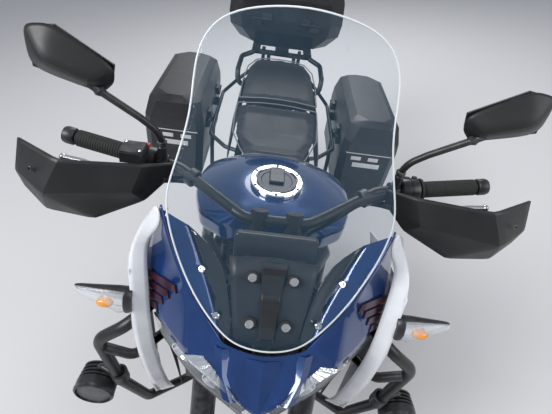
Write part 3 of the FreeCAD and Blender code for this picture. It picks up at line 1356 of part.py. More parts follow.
report("steering", steer(0, 0, 640), AXIS_DIR)
report("front_wheel", FRONT_AXLE, X_AXIS)
report("rear_wheel", REAR_AXLE, X_AXIS)
report("side_stand", STAND_PIVOT, STAND_AXIS)
report("pannier_lid_left", PANNIER_HINGE, Y_AXIS)
report("pannier_lid_right", Vector(-PANNIER_HINGE.x, 0, PANNIER_HINGE.z), Y_AXIS)
report("top_case_lid", TOP_HINGE, X_AXIS)
report("tank_cap", CAP_HINGE, X_AXIS)
report("stem_mid", steer(0, 0, (LOWER_CLAMP + UPPER_CLAMP + s.clamp_height) / 2), AXIS_DIR)
report("spool_left", Vector(124, REAR_AXLE.y - 90, 318), X_AXIS)
report("spool_right", Vector(-124, REAR_AXLE.y - 90, 318), X_AXIS)
report("plate_hole_left", Vector(75, 1003, 715), Y_AXIS)
report("plate_hole_right", Vector(-75, 1003, 715), Y_AXIS)
print(f"BOX {box.XMin:.1f} {box.YMin:.1f} {box.ZMin:.1f} {box.XMax:.1f} {box.YMax:.1f} {box.ZMax:.1f}")
print(f"NODES {len(PIECES)}")
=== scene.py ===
"""Looks of the adventure motorcycle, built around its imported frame.

Every sub-assembly is a class. Its meshes are laid out in the upright machine's frame in
millimetres, x to the rider's left, y to the rear, z up, and are leaned onto the side
stand and turned into metres as they are finished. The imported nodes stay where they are:
each one is either dressed with a procedural finish or replaced by a finer piece.
"""
import json
import logging
import math
from dataclasses import dataclass
from enum import Enum

import bmesh
import bpy
from mathutils import Matrix, Vector

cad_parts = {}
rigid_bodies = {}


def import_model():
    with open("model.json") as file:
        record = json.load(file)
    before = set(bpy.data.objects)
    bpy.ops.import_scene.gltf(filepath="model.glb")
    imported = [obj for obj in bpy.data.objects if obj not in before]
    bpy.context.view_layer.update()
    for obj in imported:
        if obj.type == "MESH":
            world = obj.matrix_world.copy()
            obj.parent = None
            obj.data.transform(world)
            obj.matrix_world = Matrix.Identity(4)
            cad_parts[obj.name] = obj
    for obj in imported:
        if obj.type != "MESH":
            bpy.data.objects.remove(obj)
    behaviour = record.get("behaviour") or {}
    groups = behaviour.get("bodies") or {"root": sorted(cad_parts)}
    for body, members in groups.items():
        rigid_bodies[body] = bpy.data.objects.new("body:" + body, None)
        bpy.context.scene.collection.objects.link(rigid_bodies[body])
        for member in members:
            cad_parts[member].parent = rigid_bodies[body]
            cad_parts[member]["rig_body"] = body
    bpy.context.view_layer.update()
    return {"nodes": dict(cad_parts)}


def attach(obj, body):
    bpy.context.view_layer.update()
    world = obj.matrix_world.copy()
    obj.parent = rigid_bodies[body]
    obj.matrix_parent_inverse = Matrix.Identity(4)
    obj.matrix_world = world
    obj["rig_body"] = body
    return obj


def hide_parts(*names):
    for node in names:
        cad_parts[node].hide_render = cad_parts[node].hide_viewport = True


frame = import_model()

LOG = logging.getLogger("motorcycle")

Point = tuple[float, float, float]
Colour = tuple[float, float, float]
Mesh = bmesh.types.BMesh
Socket = bpy.types.NodeSocket

LEAN = math.radians(9.5)
RAKE = math.radians(25.0)
TURN = 2 * math.pi
SHIFT = Vector((-129.0, -137.0, 15 * math.sin(LEAN) - 2.042 * math.cos(LEAN)))
TO_ROW = Matrix.Scale(0.001, 4) @ Matrix.Translation(SHIFT) @ Matrix.Rotation(LEAN, 4, "Y")
WHEELBASE = 1415.0
TRAIL = 108.0
FRONT_RADIUS = 300.0
REAR_RADIUS = 312.0
FRONT_AXLE = Vector((0, -WHEELBASE / 2, FRONT_RADIUS))
REAR_AXLE = Vector((0, WHEELBASE / 2, REAR_RADIUS))
AXIS_DIR = Vector((0, math.sin(RAKE), math.cos(RAKE)))
AXIS_FORWARD = Vector((0, -math.cos(RAKE), math.sin(RAKE)))
AXIS_GROUND = Vector((0, -WHEELBASE / 2 - TRAIL, 0))
AXLE_ON_AXIS = (FRONT_AXLE - AXIS_GROUND).dot(AXIS_DIR)
FORK_OFFSET = (FRONT_AXLE - AXIS_GROUND).dot(AXIS_FORWARD)
X_AXIS = Vector((1, 0, 0))
Z_AXIS = Vector((0, 0, 1))
NO_TURN = Vector()


def steer(x: float, forward: float, along: float) -> Vector:
    """A point given across, ahead of and along the steering axis, from the axle."""
    return AXIS_GROUND + AXIS_DIR * (AXLE_ON_AXIS + along) + AXIS_FORWARD * forward + X_AXIS * x


# Finishes


class Wear(Enum):
    """How much an edge or a face has been rubbed."""

    NEW = 0.0
    LIGHT = 0.35


class NodeDesk:
    """Adds and links nodes in one tree."""

    def __init__(self, tree: bpy.types.NodeTree) -> None:
        """Remember the tree."""
        self.tree = tree
        self.coordinates: bpy.types.Node | None = None

    def fill(self, node: bpy.types.Node, **values: object) -> bpy.types.Node:
        """Set a node's properties, then its inputs.

        Args:
            node: the node.
            values: properties, or inputs as in_NAME, where a double underscore is a space and
                a number is a place in the list; a socket value makes a link.

        Returns:
            The node.
        """
        for key in [k for k in values if not k.startswith("in_")]:
            setattr(node, key, values.pop(key))
        for key, value in values.items():
            label = key[3:].replace("__", " ")
            socket = node.inputs[int(label) if label.isdigit() else label]
            if isinstance(value, Socket):
                self.tree.links.new(value, socket)
            else:
                socket.default_value = value
        return node

    def add(self, kind: str, **values: object) -> bpy.types.Node:
        """A new node, filled."""
        return self.fill(self.tree.nodes.new(kind), **values)

    def place(self) -> Socket:
        """Object coordinates."""
        if self.coordinates is None:
            self.coordinates = self.add("ShaderNodeTexCoord")
        return self.coordinates.outputs["Object"]

    def noise(self, scale: object, detail: float, rough: float = 0.5) -> Socket:
        """Cloudy noise in Object coordinates."""
        return self.add("ShaderNodeTexNoise", in_Vector=self.place(), in_Scale=scale, in_Detail=detail,
                        in_Roughness=rough).outputs["Fac"]

    def ramp(self, source: Socket, low: object, high: object, to_low: float = 0.0,
             to_high: float = 1.0) -> Socket:
        """A value carried from one range to another, clamped."""
        return self.add("ShaderNodeMapRange", in_0=source, in_1=low, in_2=high, in_3=to_low,
                        in_4=to_high).outputs[0]

    def maths(self, operation: str, a: object, b: object = 0.0) -> Socket:
        """The result of one sum."""
        return self.add("ShaderNodeMath", operation=operation, in_0=a, in_1=b).outputs[0]

    def mix(self, share: object, a: object, b: object) -> Socket:
        """Two colours mixed by a share."""
        return self.add("ShaderNodeMix", data_type="RGBA", in_0=share, in_6=a, in_7=b).outputs[2]

    def bump(self, strength: float, distance: float, height: Socket) -> Socket:
        """A normal bent by a height."""
        return self.add("ShaderNodeBump", in_Strength=strength, in_Distance=distance,
                        in_Height=height).outputs["Normal"]


class TreeDesk(NodeDesk):
    """Builds one node group with named inputs and outputs."""

    def __init__(self, name: str, kind: str, inputs: dict[str, object], outputs: tuple[str, ...],
                 result: str = "Float") -> None:
        """Start a group.

        Args:
            name: the group's name.
            kind: its tree's type.
            inputs: socket name to a default number, or to a socket type and its default value.
            outputs: the names of the sockets it gives.
            result: the type of those sockets.
        """
        super().__init__(bpy.data.node_groups.new(name, kind))
        sockets = self.tree.interface.new_socket
        for label, start in inputs.items():
            sort, value = start if isinstance(start, tuple) else ("Float", start)
            socket = sockets(label, in_out="INPUT", socket_type=f"NodeSocket{sort}")
            if value is not None:
                socket.default_value = value
        for label in outputs:
            sockets(label, in_out="OUTPUT", socket_type=f"NodeSocket{result}")
        self.source = self.tree.nodes.new("NodeGroupInput")
        self.out = self.tree.nodes.new("NodeGroupOutput")

    def given(self, label: str) -> Socket:
        """One of the group's inputs."""
        return self.source.outputs[label]

    def end(self, **values: Socket) -> bpy.types.NodeTree:
        """Link the group's outputs and hand it over."""
        for label, value in values.items():
            self.tree.links.new(value, self.out.inputs[label])
        return self.tree


def grain_group() -> bpy.types.NodeTree:
    """Fine moulded or cast grain, from Object coordinates.

    Returns:
        A group that gives a height and a mask.
    """
    desk = TreeDesk("surface_grain", "ShaderNodeTree",
                    {"Scale": 900.0, "Contrast": 0.5, "Blotch Scale": 14.0}, ("Height", "Blotch"))
    cells = desk.add("ShaderNodeTexVoronoi", feature="SMOOTH_F1", in_Vector=desk.place(),
                     in_Scale=desk.given("Scale"), in_Smoothness=0.6)
    both = desk.maths("ADD", cells.outputs["Distance"], desk.noise(desk.given("Scale"), 2.0))
    blotch = desk.noise(desk.given("Blotch Scale"), 4.0, 0.6)
    return desk.end(Height=desk.maths("MULTIPLY", both, desk.given("Contrast")),
                    Blotch=desk.ramp(blotch, 0.35, 0.65))


def dust_group() -> bpy.types.NodeTree:
    """Road dust that settles low down."""
    desk = TreeDesk("road_dust", "ShaderNodeTree", {"Amount": 0.3, "Reach": 0.5}, ("Mask",))
    parts = desk.add("ShaderNodeSeparateXYZ", in_Vector=desk.place())
    low = desk.ramp(parts.outputs["Z"], desk.given("Reach"), 0.0)
    speckle = desk.ramp(desk.noise(26.0, 6.0, 0.7), 0.42, 0.72)
    return desk.end(Mask=desk.maths("MULTIPLY", desk.maths("MULTIPLY", low, speckle), desk.given("Amount")))


def edge_group() -> bpy.types.NodeTree:
    """Rubbed edges, from the surface's pointiness."""
    desk = TreeDesk("edge_wear", "ShaderNodeTree", {"Amount": 0.3}, ("Mask",))
    edge = desk.ramp(desk.add("ShaderNodeNewGeometry").outputs["Pointiness"], 0.53, 0.62)
    patchy = desk.maths("MULTIPLY", edge, desk.ramp(desk.noise(60.0, 5.0), 0.4, 0.7))
    return desk.end(Mask=desk.maths("MULTIPLY", patchy, desk.given("Amount")))


GROUPS: dict[str, bpy.types.NodeTree] = {}


def group(name: str) -> bpy.types.NodeTree:
    """One of the shared node groups, built when it is first wanted."""
    if name not in GROUPS:
        GROUPS[name] = {"grain": grain_group, "dust": dust_group, "edge": edge_group, "tubes": tube_tree,
                        "copies": copies_tree}[name]()
    return GROUPS[name]


def rgba(colour: Colour, factor: float = 1.0, lift: float = 0.0) -> tuple[float, float, float, float]:
    """A colour with full alpha, made darker or brighter."""
    return (*(min(1.0, c * factor + lift) for c in colour), 1.0)


@dataclass(frozen=True)
class Look:
    """What a piece is made of, with a slot name that nothing here reads."""

    name: str
    slot: str
    colour: Colour

    def make(self) -> bpy.types.Material:
        """The Blender material, made once.

        Returns:
            The material of this look.
        """
        found = bpy.data.materials.get(f"{self.name}_look")
        if found is None:
            found = bpy.data.materials.new(f"{self.name}_look")
            found.use_nodes = True
            self.paint(found, NodeDesk(found.node_tree), found.node_tree.nodes["Principled BSDF"])
        return found


DUST_COLOUR = (0.33, 0.30, 0.26)
GRAIN_HEIGHT = 0.0004
FLAKE_SCALE = 1800.0


@dataclass(frozen=True)
class Finish(Look):
    """One procedural finish: base colour, gloss, grain, dust and wear."""

    rough: float
    metal: float = 0.0
    grain: float = 900.0
    grain_depth: float = 0.02
    variation: float = 0.12
    dust: float = 0.15
    wear: Wear = Wear.LIGHT
    worn_colour: Colour = (0.32, 0.32, 0.33)
    coat: float = 0.0
    flake_glint: float = 0.0
    sheen: float = 0.0

    def paint(self, material: bpy.types.Material, desk: NodeDesk, shader: bpy.types.Node) -> None:
        """Lay grain, flakes with painted glints, worn edges and dust over the base colour.

        Args:
            material: the material; not used here.
            desk: adds nodes to its tree.
            shader: the shader that the colours feed.
        """
        grain = desk.add("ShaderNodeGroup", node_tree=group("grain"), in_Scale=self.grain)
        dust, edge = (desk.add("ShaderNodeGroup", node_tree=group(name), in_Amount=amount).outputs["Mask"]
                      for name, amount in (("dust", self.dust), ("edge", self.wear.value)))
        blotch = grain.outputs["Blotch"]
        colour = desk.mix(blotch, rgba(self.colour, 1 - self.variation),
                          rgba(self.colour, 1 + self.variation))
        # Metal flakes are real in the paint, but their brighter specks in the base colour are painted
        # glints.
        if self.flake_glint:
            flakes = desk.add("ShaderNodeTexVoronoi", in_Vector=desk.place(), in_Scale=FLAKE_SCALE)
            painted_glint = desk.ramp(flakes.outputs["Color"], 0.80, 1.0, 0.0, self.flake_glint)
            colour = desk.mix(painted_glint, colour, rgba(self.colour, 2.2, 0.08))
        colour = desk.mix(edge, colour, rgba(self.worn_colour))
        rough = desk.ramp(blotch, 0.0, 1.0, max(0.02, self.rough - 0.05), self.rough + 0.05)
        desk.fill(shader, in_Base__Color=desk.mix(dust, colour, rgba(DUST_COLOUR)),
                  in_Roughness=desk.maths("ADD", rough, desk.maths("MULTIPLY", dust, 0.4)),
                  in_Metallic=self.metal, in_Coat__Weight=self.coat, in_Coat__Roughness=0.04,
                  in_Sheen__Weight=self.sheen)
        if self.grain_depth:
            height = grain.outputs["Height"]
            desk.fill(shader, in_Normal=desk.bump(self.grain_depth * 10, GRAIN_HEIGHT, height))


@dataclass(frozen=True)
class Clear(Look):
    """A clear moulding: acrylic or a lamp lens; also the painted highlight along the screen's edge."""

    alpha: float

    def paint(self, material: bpy.types.Material, desk: NodeDesk, shader: bpy.types.Node) -> None:
        """A faint haze with smears and scratches, denser where it is seen edge on.

        Args:
            material: the material, for its own settings.
            desk: adds nodes to its tree.
            shader: the shader that the colours feed.
        """
        smear = desk.noise(7.0, 6.0, 0.65)
        haze = desk.maths("ADD", desk.ramp(smear, 0.3, 0.8, self.alpha * 0.85, self.alpha * 1.2),
                          desk.ramp(desk.noise(90.0, 3.0), 0.66, 0.8, 0.0, 0.04))
        rim = desk.add("ShaderNodeLayerWeight", in_Blend=0.35).outputs["Facing"]
        desk.fill(shader, in_Roughness=desk.ramp(smear, 0.35, 0.75, 0.03, 0.08),
                  in_Alpha=desk.maths("ADD", haze, desk.ramp(rim, 0.55, 1.0, 0.0, 0.55)),
                  in_Base__Color=rgba(self.colour), in_IOR=1.49, in_Specular__IOR__Level=0.6)
        material.surface_render_method = "BLENDED"


@dataclass(frozen=True)
class Glow(Look):
    """A strongly coloured bulb with fine ribs."""

    def paint(self, material: bpy.types.Material, desk: NodeDesk, shader: bpy.types.Node) -> None:
        """Ribs in the colour and in the surface."""
        ribs = desk.add("ShaderNodeTexWave", in_Vector=desk.place(), in_Scale=90.0,
                        in_Distortion=0.4).outputs["Fac"]
        desk.fill(shader, in_Base__Color=desk.mix(ribs, rgba(self.colour, 0.75), rgba(self.colour)),
                  in_Normal=desk.bump(0.4, 0.0006, ribs), in_Roughness=0.25, in_Coat__Weight=0.6)


BLUE = Finish("deep_blue_paint", "blue_paint", (0.0004, 0.032, 0.150), 0.20, metal=0.30, grain=1400,
              grain_depth=0.0, variation=0.15, dust=0.02, wear=Wear.NEW, coat=1.0)
WHITE = Finish("pearl_white_paint", "white_paint", (0.74, 0.76, 0.79), 0.26, grain=1500, grain_depth=0.0,
               variation=0.03, dust=0.12, wear=Wear.NEW, coat=0.9, flake_glint=0.15)
MAROON = Finish("maroon_film", "blue_paint", (0.035, 0.003, 0.016), 0.38, metal=0.1, grain_depth=0.01,
                dust=0.05, wear=Wear.NEW, coat=0.6)
BLACK_PLASTIC = Finish("grained_black_plastic", "black_plastic", (0.010, 0.010, 0.011), 0.48, grain=1300,
                       dust=0.08, worn_colour=(0.06, 0.06, 0.06))
SATIN_PLASTIC = Finish("satin_black_plastic", "black_plastic", (0.016, 0.016, 0.018), 0.34, grain=1600,
                       dust=0.12, worn_colour=(0.1, 0.1, 0.1))
CASE = Finish("grained_case_plastic", "case_plastic", (0.013, 0.014, 0.016), 0.40, grain_depth=0.03,
              dust=0.1, worn_colour=(0.16, 0.16, 0.16))
POWDER = Finish("black_powder_coat", "dark_metal", (0.012, 0.012, 0.013), 0.36, grain=1500,
                grain_depth=0.04, dust=0.35, worn_colour=(0.30, 0.30, 0.31))
ALUMINIUM = Finish("bare_aluminium", "engine_metal", (0.55, 0.56, 0.57), 0.32, metal=1.0, grain=1200,
                   grain_depth=0.03, dust=0.3, worn_colour=(0.75, 0.75, 0.76))
CAST = Finish("dark_cast_metal", "engine_metal", (0.075, 0.076, 0.080), 0.45, metal=0.7, grain=650,
              grain_depth=0.09, dust=0.5, worn_colour=(0.35, 0.35, 0.36))
STEEL = Finish("brushed_steel", "disc_steel", (0.56, 0.56, 0.57), 0.28, metal=1.0, grain=1800, dust=0.25,
               worn_colour=(0.8, 0.8, 0.8))
EXHAUST = Finish("heat_browned_steel", "exhaust_steel", (0.40, 0.35, 0.29), 0.33, metal=1.0, grain=1100,
                 variation=0.35, dust=0.5, worn_colour=(0.5, 0.45, 0.4))
CHROME = Finish("bright_chrome", "chrome", (0.80, 0.80, 0.82), 0.08, metal=1.0, grain=1800, grain_depth=0.0,
                variation=0.04, dust=0.03, wear=Wear.NEW)
WHEEL = Finish("satin_black_wheel", "wheel_black", (0.018, 0.018, 0.019), 0.38, grain=1300, dust=0.6,
               worn_colour=(0.3, 0.3, 0.3))
ANODISED = Finish("dark_anodised", "fork_metal", (0.030, 0.030, 0.034), 0.30, metal=0.8, grain=1500,
                  grain_depth=0.01, dust=0.3)
RUBBER = Finish("grip_rubber", "rubber", (0.018, 0.018, 0.018), 0.75, grain=800, grain_depth=0.08,
                worn_colour=(0.07, 0.07, 0.07))
TYRE = Finish("tyre_rubber", "tyre", (0.024, 0.024, 0.025), 0.85, grain=600, grain_depth=0.1, dust=0.8,
              worn_colour=(0.08, 0.08, 0.08))
SEAT = Finish("seat_cover", "seat_cover", (0.012, 0.012, 0.014), 0.50, grain=620, grain_depth=0.10,
              variation=0.2, dust=0.1, worn_colour=(0.06, 0.06, 0.06), sheen=0.05)
THREAD = Finish("seat_thread", "seat_cover", (0.16, 0.16, 0.17), 0.8, grain_depth=0.1, dust=0.1)
MIRROR = Finish("mirror_glass", "black_plastic", (0.62, 0.64, 0.67), 0.03, metal=1.0, grain_depth=0.0,
                variation=0.02, dust=0.02, wear=Wear.NEW)
REFLECTOR = Finish("lamp_reflector", "lamp_glass", (0.78, 0.79, 0.82), 0.12, metal=1.0, grain=300,
                   grain_depth=0.06, variation=0.05, dust=0.0, wear=Wear.NEW)
PALE = Finish("pale_strip", "case_plastic", (0.55, 0.56, 0.57), 0.45, grain=1000, dust=0.1)
DISPLAY = Finish("instrument_glass", "black_plastic", (0.006, 0.007, 0.009), 0.07, grain_depth=0.0,
                 variation=0.1, dust=0.02, wear=Wear.NEW, coat=1.0)
RED = Finish("red_switch", "black_plastic", (0.60, 0.03, 0.02), 0.4, dust=0.05)
SCREEN = Clear("screen_acrylic", "clear_screen", (0.16, 0.32, 0.48), 0.045)
# Near-white and nearly opaque: a painted highlight along the screen's edge, not a colour of the acrylic.
EDGE_HIGHLIGHT = Clear("screen_edge_highlight", "clear_screen", (0.95, 0.98, 1.0), 0.85)
LENS = Clear("lamp_lens", "lamp_glass", (0.62, 0.66, 0.70), 0.10)
SIGNAL = Clear("signal_lens", "lamp_glass", (0.80, 0.84, 0.88), 0.30)
AMBER = Glow("amber_bulb", "black_plastic", (0.95, 0.36, 0.03))

# Meshes


# Points of a CAD node nearer than this, in metres, are one; faces that meet at less are one
DOUBLE = 1e-5
FLAT = math.radians(0.5)


def seated(name: str, bm: Mesh, look: Look, node: str = "", smooth: float = 35.0, body: str = "chassis",
           edge: float = 0.0, steps: int = 2, angle: float = 28.0) -> bpy.types.Object:
    """Turn a mesh that is already in the row frame into a piece that rides on a body.

    Args:
        name: the piece's name.
        bm: the mesh; it is freed.
        look: what the whole piece is made of.
        node: the CAD node it stands for, whose body it then rides on.
        smooth: faces that meet at less than this many degrees shade as one surface.
        body: the CAD body that a piece without a node rides on.
        edge: the radius its edges are rounded to, in millimetres.
        steps: the facets of a rounded edge.
        angle: edges that turn by more than this many degrees are rounded.

    Returns:
        The object, at the origin with its place in its mesh.
    """
    mesh = bpy.data.meshes.new(name)
    bm.to_mesh(mesh)
    bm.free()
    mesh.shade_smooth()
    mesh.set_sharp_from_angle(angle=math.radians(smooth))
    mesh.materials.append(look.make())
    obj = bpy.data.objects.new(name, mesh)
    bpy.context.scene.collection.objects.link(obj)
    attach(obj, frame["nodes"][node]["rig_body"] if node else body)
    if node:
        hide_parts(node)
    if edge:
        bevel = obj.modifiers.new("rounded_edges", "BEVEL")
        bevel.width = edge / 1000
        bevel.segments = steps
        bevel.limit_method = "ANGLE"
        bevel.angle_limit = math.radians(angle)
        bevel.use_clamp_overlap = True
        bevel.harden_normals = True
    LOG.info("%s is made of %s", name, look.name)
    return obj


def upright(name: str, bm: Mesh, look: Look, node: str = "", smooth: float = 35.0,
            **more: object) -> bpy.types.Object:
    """A piece from a mesh laid out in the upright machine's frame, in millimetres."""
    bmesh.ops.transform(bm, matrix=TO_ROW, verts=bm.verts)
    return seated(name, bm, look, node, smooth, **more)


def flowing(obj: bpy.types.Object, levels: int, wall: float = 0.0) -> bpy.types.Object:
    """Let a panel's faces flow into each other, and give it a wall.

    Args:
        obj: the panel.
        levels: how many times its faces are divided; 0 leaves them.
        wall: its thickness inwards, in millimetres; 0 leaves it thin.

    Returns:
        The panel.
    """
    if levels:
        flow = obj.modifiers.new("flow", "SUBSURF")
        flow.levels = flow.render_levels = levels
    if wall:
        solid = obj.modifiers.new("wall", "SOLIDIFY")
        solid.thickness = wall / 1000
        solid.offset = -1.0
        solid.use_even_offset = True
        solid.thickness_clamp = 1.0
    return obj


def dressed(node: str, look: Look, edge: float, smooth: float) -> None:
    """A CAD node's faces made whole again, with rounded edges and a finish.

    Args:
        node: the node.
        look: what it is made of.
        edge: the radius its edges are rounded to, in millimetres.
        smooth: faces that meet at less than this many degrees shade as one surface.
    """
    bm = bmesh.new()
    bm.from_mesh(frame["nodes"][node].data)
    bmesh.ops.remove_doubles(bm, verts=bm.verts, dist=DOUBLE)
    bmesh.ops.dissolve_limit(bm, angle_limit=FLAT, verts=bm.verts, edges=bm.edges)
    seated(f"{node}_body", bm, look, node, smooth, edge=edge, angle=smooth)


def creased(bm: Mesh, angle: float, strength: float, outline: float = 0.0) -> Mesh:
    """Crease a mesh for its flowing.

    Args:
        bm: the mesh.
        angle: edges that turn by more than this many degrees are creased.
        strength: how sharp those edges stay, from 0 to 1.
        outline: how sharp the outline stays, from 0 to 1.

    Returns:
        The same mesh.
    """
    layer = bm.edges.layers.float.new("crease_edge")
    for e in bm.edges:
        inner = len(e.link_faces) == 2
        if not inner or e.calc_face_angle(0.0) > math.radians(angle):
            e[layer] = strength if inner else outline
    return bm


def sheet_mesh(points: list[Point] | dict[str, Point], faces: str, mirror: bool, crease: float,
               strength: float, outline: float, inside: bool = False) -> Mesh:
    """A creased panel's outer face from lettered corners.

    Args:
        points: the corners, which get the letters a, b, c ..., upright, in millimetres.
        faces: rounds of corners' letters, seen from outside.
        mirror: add the other half, joined on the middle line.
        crease: edges that turn by more than this many degrees stay creased.
        strength: how sharp those edges stay, from 0 to 1.
        outline: how sharp the outline stays, from 0 to 1.
        inside: the rounds are seen from inside.

    Returns:
        The mesh.
    """
    bm = bmesh.new()
    named = points if isinstance(points, dict) else lettered(points)
    for sign in ((1, -1) if mirror else (1,)):
        made = {n: bm.verts.new(mirrored(p, sign)) for n, p in named.items()}
        for loop in faces.split():
            corners = [made[n] for n in loop]
            bm.faces.new(corners if (sign > 0) != inside else corners[::-1])
    bmesh.ops.remove_doubles(bm, verts=bm.verts, dist=0.01)
    stray = [v for v in bm.verts if not v.link_faces]
    bmesh.ops.delete(bm, geom=stray, context="VERTS")
    bm.normal_update()
    return creased(bm, crease, strength, outline)


def lettered(points: list[Point]) -> dict[str, Point]:
    """Corners by the letters a, b, c ..."""
    return {chr(ord("a") + i): p for i, p in enumerate(points)}


def mirrored(point: Point, side: int = -1) -> Point:
    """A point, or its mirror image across the machine."""
    return (side * point[0], point[1], point[2])


def around(count: int, start: float = 0.0) -> list[float]:
    """As many even angles round a circle."""
    return [TURN * (i + start) / count for i in range(count)]


def loft(rings: list[list[Point]], caps: bool = True, full: bool = True, closed: bool = False) -> Mesh:
    """A skin through rings of as many points each.

    Args:
        rings: the rings.
        caps: close both ends.
        full: each ring runs round, back to its first point.
        closed: the last ring is joined to the first, and there are no ends.

    Returns:
        The mesh, with its faces turned outwards.
    """
    bm = bmesh.new()
    made = [[bm.verts.new(p) for p in ring] for ring in rings]
    if caps and not closed:
        bm.faces.new(made[0][::-1])
        bm.faces.new(made[-1])
    count = len(rings[0])
    for low, high in list(zip(made, made[1:])) + ([(made[-1], made[0])] if closed else []):
        for i in range(count if full else count - 1):
            j = (i + 1) % count
            bm.faces.new((low[i], low[j], high[j], high[i]))
    bmesh.ops.recalc_face_normals(bm, faces=bm.faces)
    return bm


def lathe(profile: list[tuple[float, float]], start: Vector, axis: Vector, sides: int = 48,
          closed: bool = False) -> Mesh:
    """A turned shape, upright, in millimetres.

    Args:
        profile: rows of a distance along the axis and a radius.
        start: the axis' start.
        axis: its direction.
        sides: the facets round it.
        closed: the profile is joined to its start, as for a ring.

    Returns:
        The mesh.
    """
    axis = axis.normalized()
    across = axis.cross(Z_AXIS if abs(axis.z) < 0.9 else X_AXIS).normalized()
    up = axis.cross(across)
    return loft([[start + axis * distance + (across * math.cos(a) + up * math.sin(a)) * radius
                  for a in around(sides)] for distance, radius in profile], closed=closed)


def band(inner: list[tuple[float, float]], outer: list[tuple[float, float]], low: float,
         high: float) -> Mesh:
    """A flat band along x between two outlines, each of (radius, angle) rows."""
    return loft([[(x, r * math.cos(a), r * math.sin(a)) for r, a in rows]
                 for x, rows in ((low, outer), (low, inner), (high, inner), (high, outer))], closed=True)


def bar(start: Point | Vector, end: Point | Vector, radius: float, bore: float = 0.0,
        sides: int = 28) -> Mesh:
    """A round bar, or a tube when it has a bore, with softened ends.

    Args:
        start: the middle of one end.
        end: the middle of the other.
        radius: its radius.
        bore: the bore's radius.
        sides: the facets round it.

    Returns:
        The mesh.
    """
    start, run = Vector(start), Vector(end) - Vector(start)
    long, cut = run.length, min(1.2, radius * 0.2, run.length * 0.2)
    rows = [(0, radius - cut), (cut, radius), (long - cut, radius), (long, radius - cut)]
    if bore:
        rows = [(0, bore)] + rows + [(long, bore)]
    return lathe(rows, start, run, sides, closed=bool(bore))


def slab(outline: list[tuple[float, float]], low: float, high: float) -> Mesh:
    """A plate from (y, z) corners between two distances from the middle."""
    return loft([[(x, y, z) for y, z in outline] for x in (low, high)])


def polar(rows: list[tuple[float, float]], low: float, high: float) -> Mesh:
    """A plate round x from (radius, angle) corners between two distances."""
    return slab([(r * math.cos(a), r * math.sin(a)) for r, a in rows], low, high)


def box_mesh(low: Point, high: Point, turn: Matrix | None = None) -> Mesh:
    """A plain block.

    Args:
        low: its corner with the least x, y and z.
        high: the opposite corner.
        turn: where it is then moved and turned to.

    Returns:
        The mesh.
    """
    bm = bmesh.new()
    bmesh.ops.create_cube(bm, size=1)
    size = [b - a for a, b in zip(low, high)]
    mid = Vector([(a + b) / 2 for a, b in zip(low, high)])
    bmesh.ops.transform(bm, matrix=Matrix.Translation(mid) @ Matrix.Diagonal((*size, 1)), verts=bm.verts)
    if turn is not None:
        bmesh.ops.transform(bm, matrix=turn, verts=bm.verts)
    return bm


def joined(*parts: Mesh) -> Mesh:
    """Several meshes as one.

    Args:
        parts: the meshes, which are freed.

    Returns:
        One new mesh with all their faces.
    """
    whole = bmesh.new()
    for part in parts:
        mesh = bpy.data.meshes.new("part")
        part.to_mesh(mesh)
        part.free()
        whole.from_mesh(mesh)
        bpy.data.meshes.remove(mesh)
    return whole


def boxes(*corners: tuple[Point, Point]) -> Mesh:
    """Blocks between pairs of corners, as one mesh."""
    return joined(*[box_mesh(low, high) for low, high in corners])


def flipped(bm: Mesh) -> Mesh:
    """The same mesh on the machine's other side."""
    bmesh.ops.scale(bm, vec=(-1, 1, 1), verts=bm.verts)
    bmesh.ops.reverse_faces(bm, faces=bm.faces)
    return bm


def two_sides(bm: Mesh) -> Mesh:
    """A mesh with its mirror image across the machine."""
    return joined(bm, flipped(bm.copy()))


def moved(bm: Mesh, to: Vector) -> Mesh:
    """The same mesh at another place."""
    bmesh.ops.translate(bm, vec=to, verts=bm.verts)
    return bm


# Geometry Nodes


def repeat_desk(name: str, inputs: dict[str, object]) -> TreeDesk:
    """A Geometry Nodes tree with a geometry, its own inputs and a material."""
    return TreeDesk(name, "GeometryNodeTree", {"Geometry": ("Geometry", None), **inputs,
                                               "Material": ("Material", None)}, ("Geometry",), "Geometry")


def realized(desk: TreeDesk, geometry: Socket) -> bpy.types.NodeTree:
    """Realize the instances, set the material and finish the tree."""
    real = desk.add("GeometryNodeRealizeInstances", in_Geometry=geometry)
    painted = desk.add("GeometryNodeSetMaterial", in_Geometry=real.outputs[0],
                       in_Material=desk.given("Material"))
    return desk.end(Geometry=painted.outputs[0])


def tube_tree() -> bpy.types.NodeTree:
    """Round tubes along the splines of a curve, their corners bent to a radius.

    Returns:
        The group of Geometry Nodes.
    """
    desk = repeat_desk("round_tubes", {"Radius": 0.01, "Bend": 0.04, "Sides": ("Int", 20)})
    bent = desk.add("GeometryNodeFilletCurve", in_Curve=desk.given("Geometry"),
                    in_Radius=desk.given("Bend"))
    try:
        desk.fill(bent, mode="POLY", in_Count=8, in_Limit__Radius=True)
    except (AttributeError, KeyError):
        LOG.info("the fillet node has other names here")
    circle = desk.add("GeometryNodeCurvePrimitiveCircle", in_Resolution=desk.given("Sides"),
                      in_Radius=desk.given("Radius"))
    swept = desk.add("GeometryNodeCurveToMesh", in_Curve=bent.outputs[0],
                     in_Profile__Curve=circle.outputs[0], in_Fill__Caps=True)
    return realized(desk, swept.outputs[0])


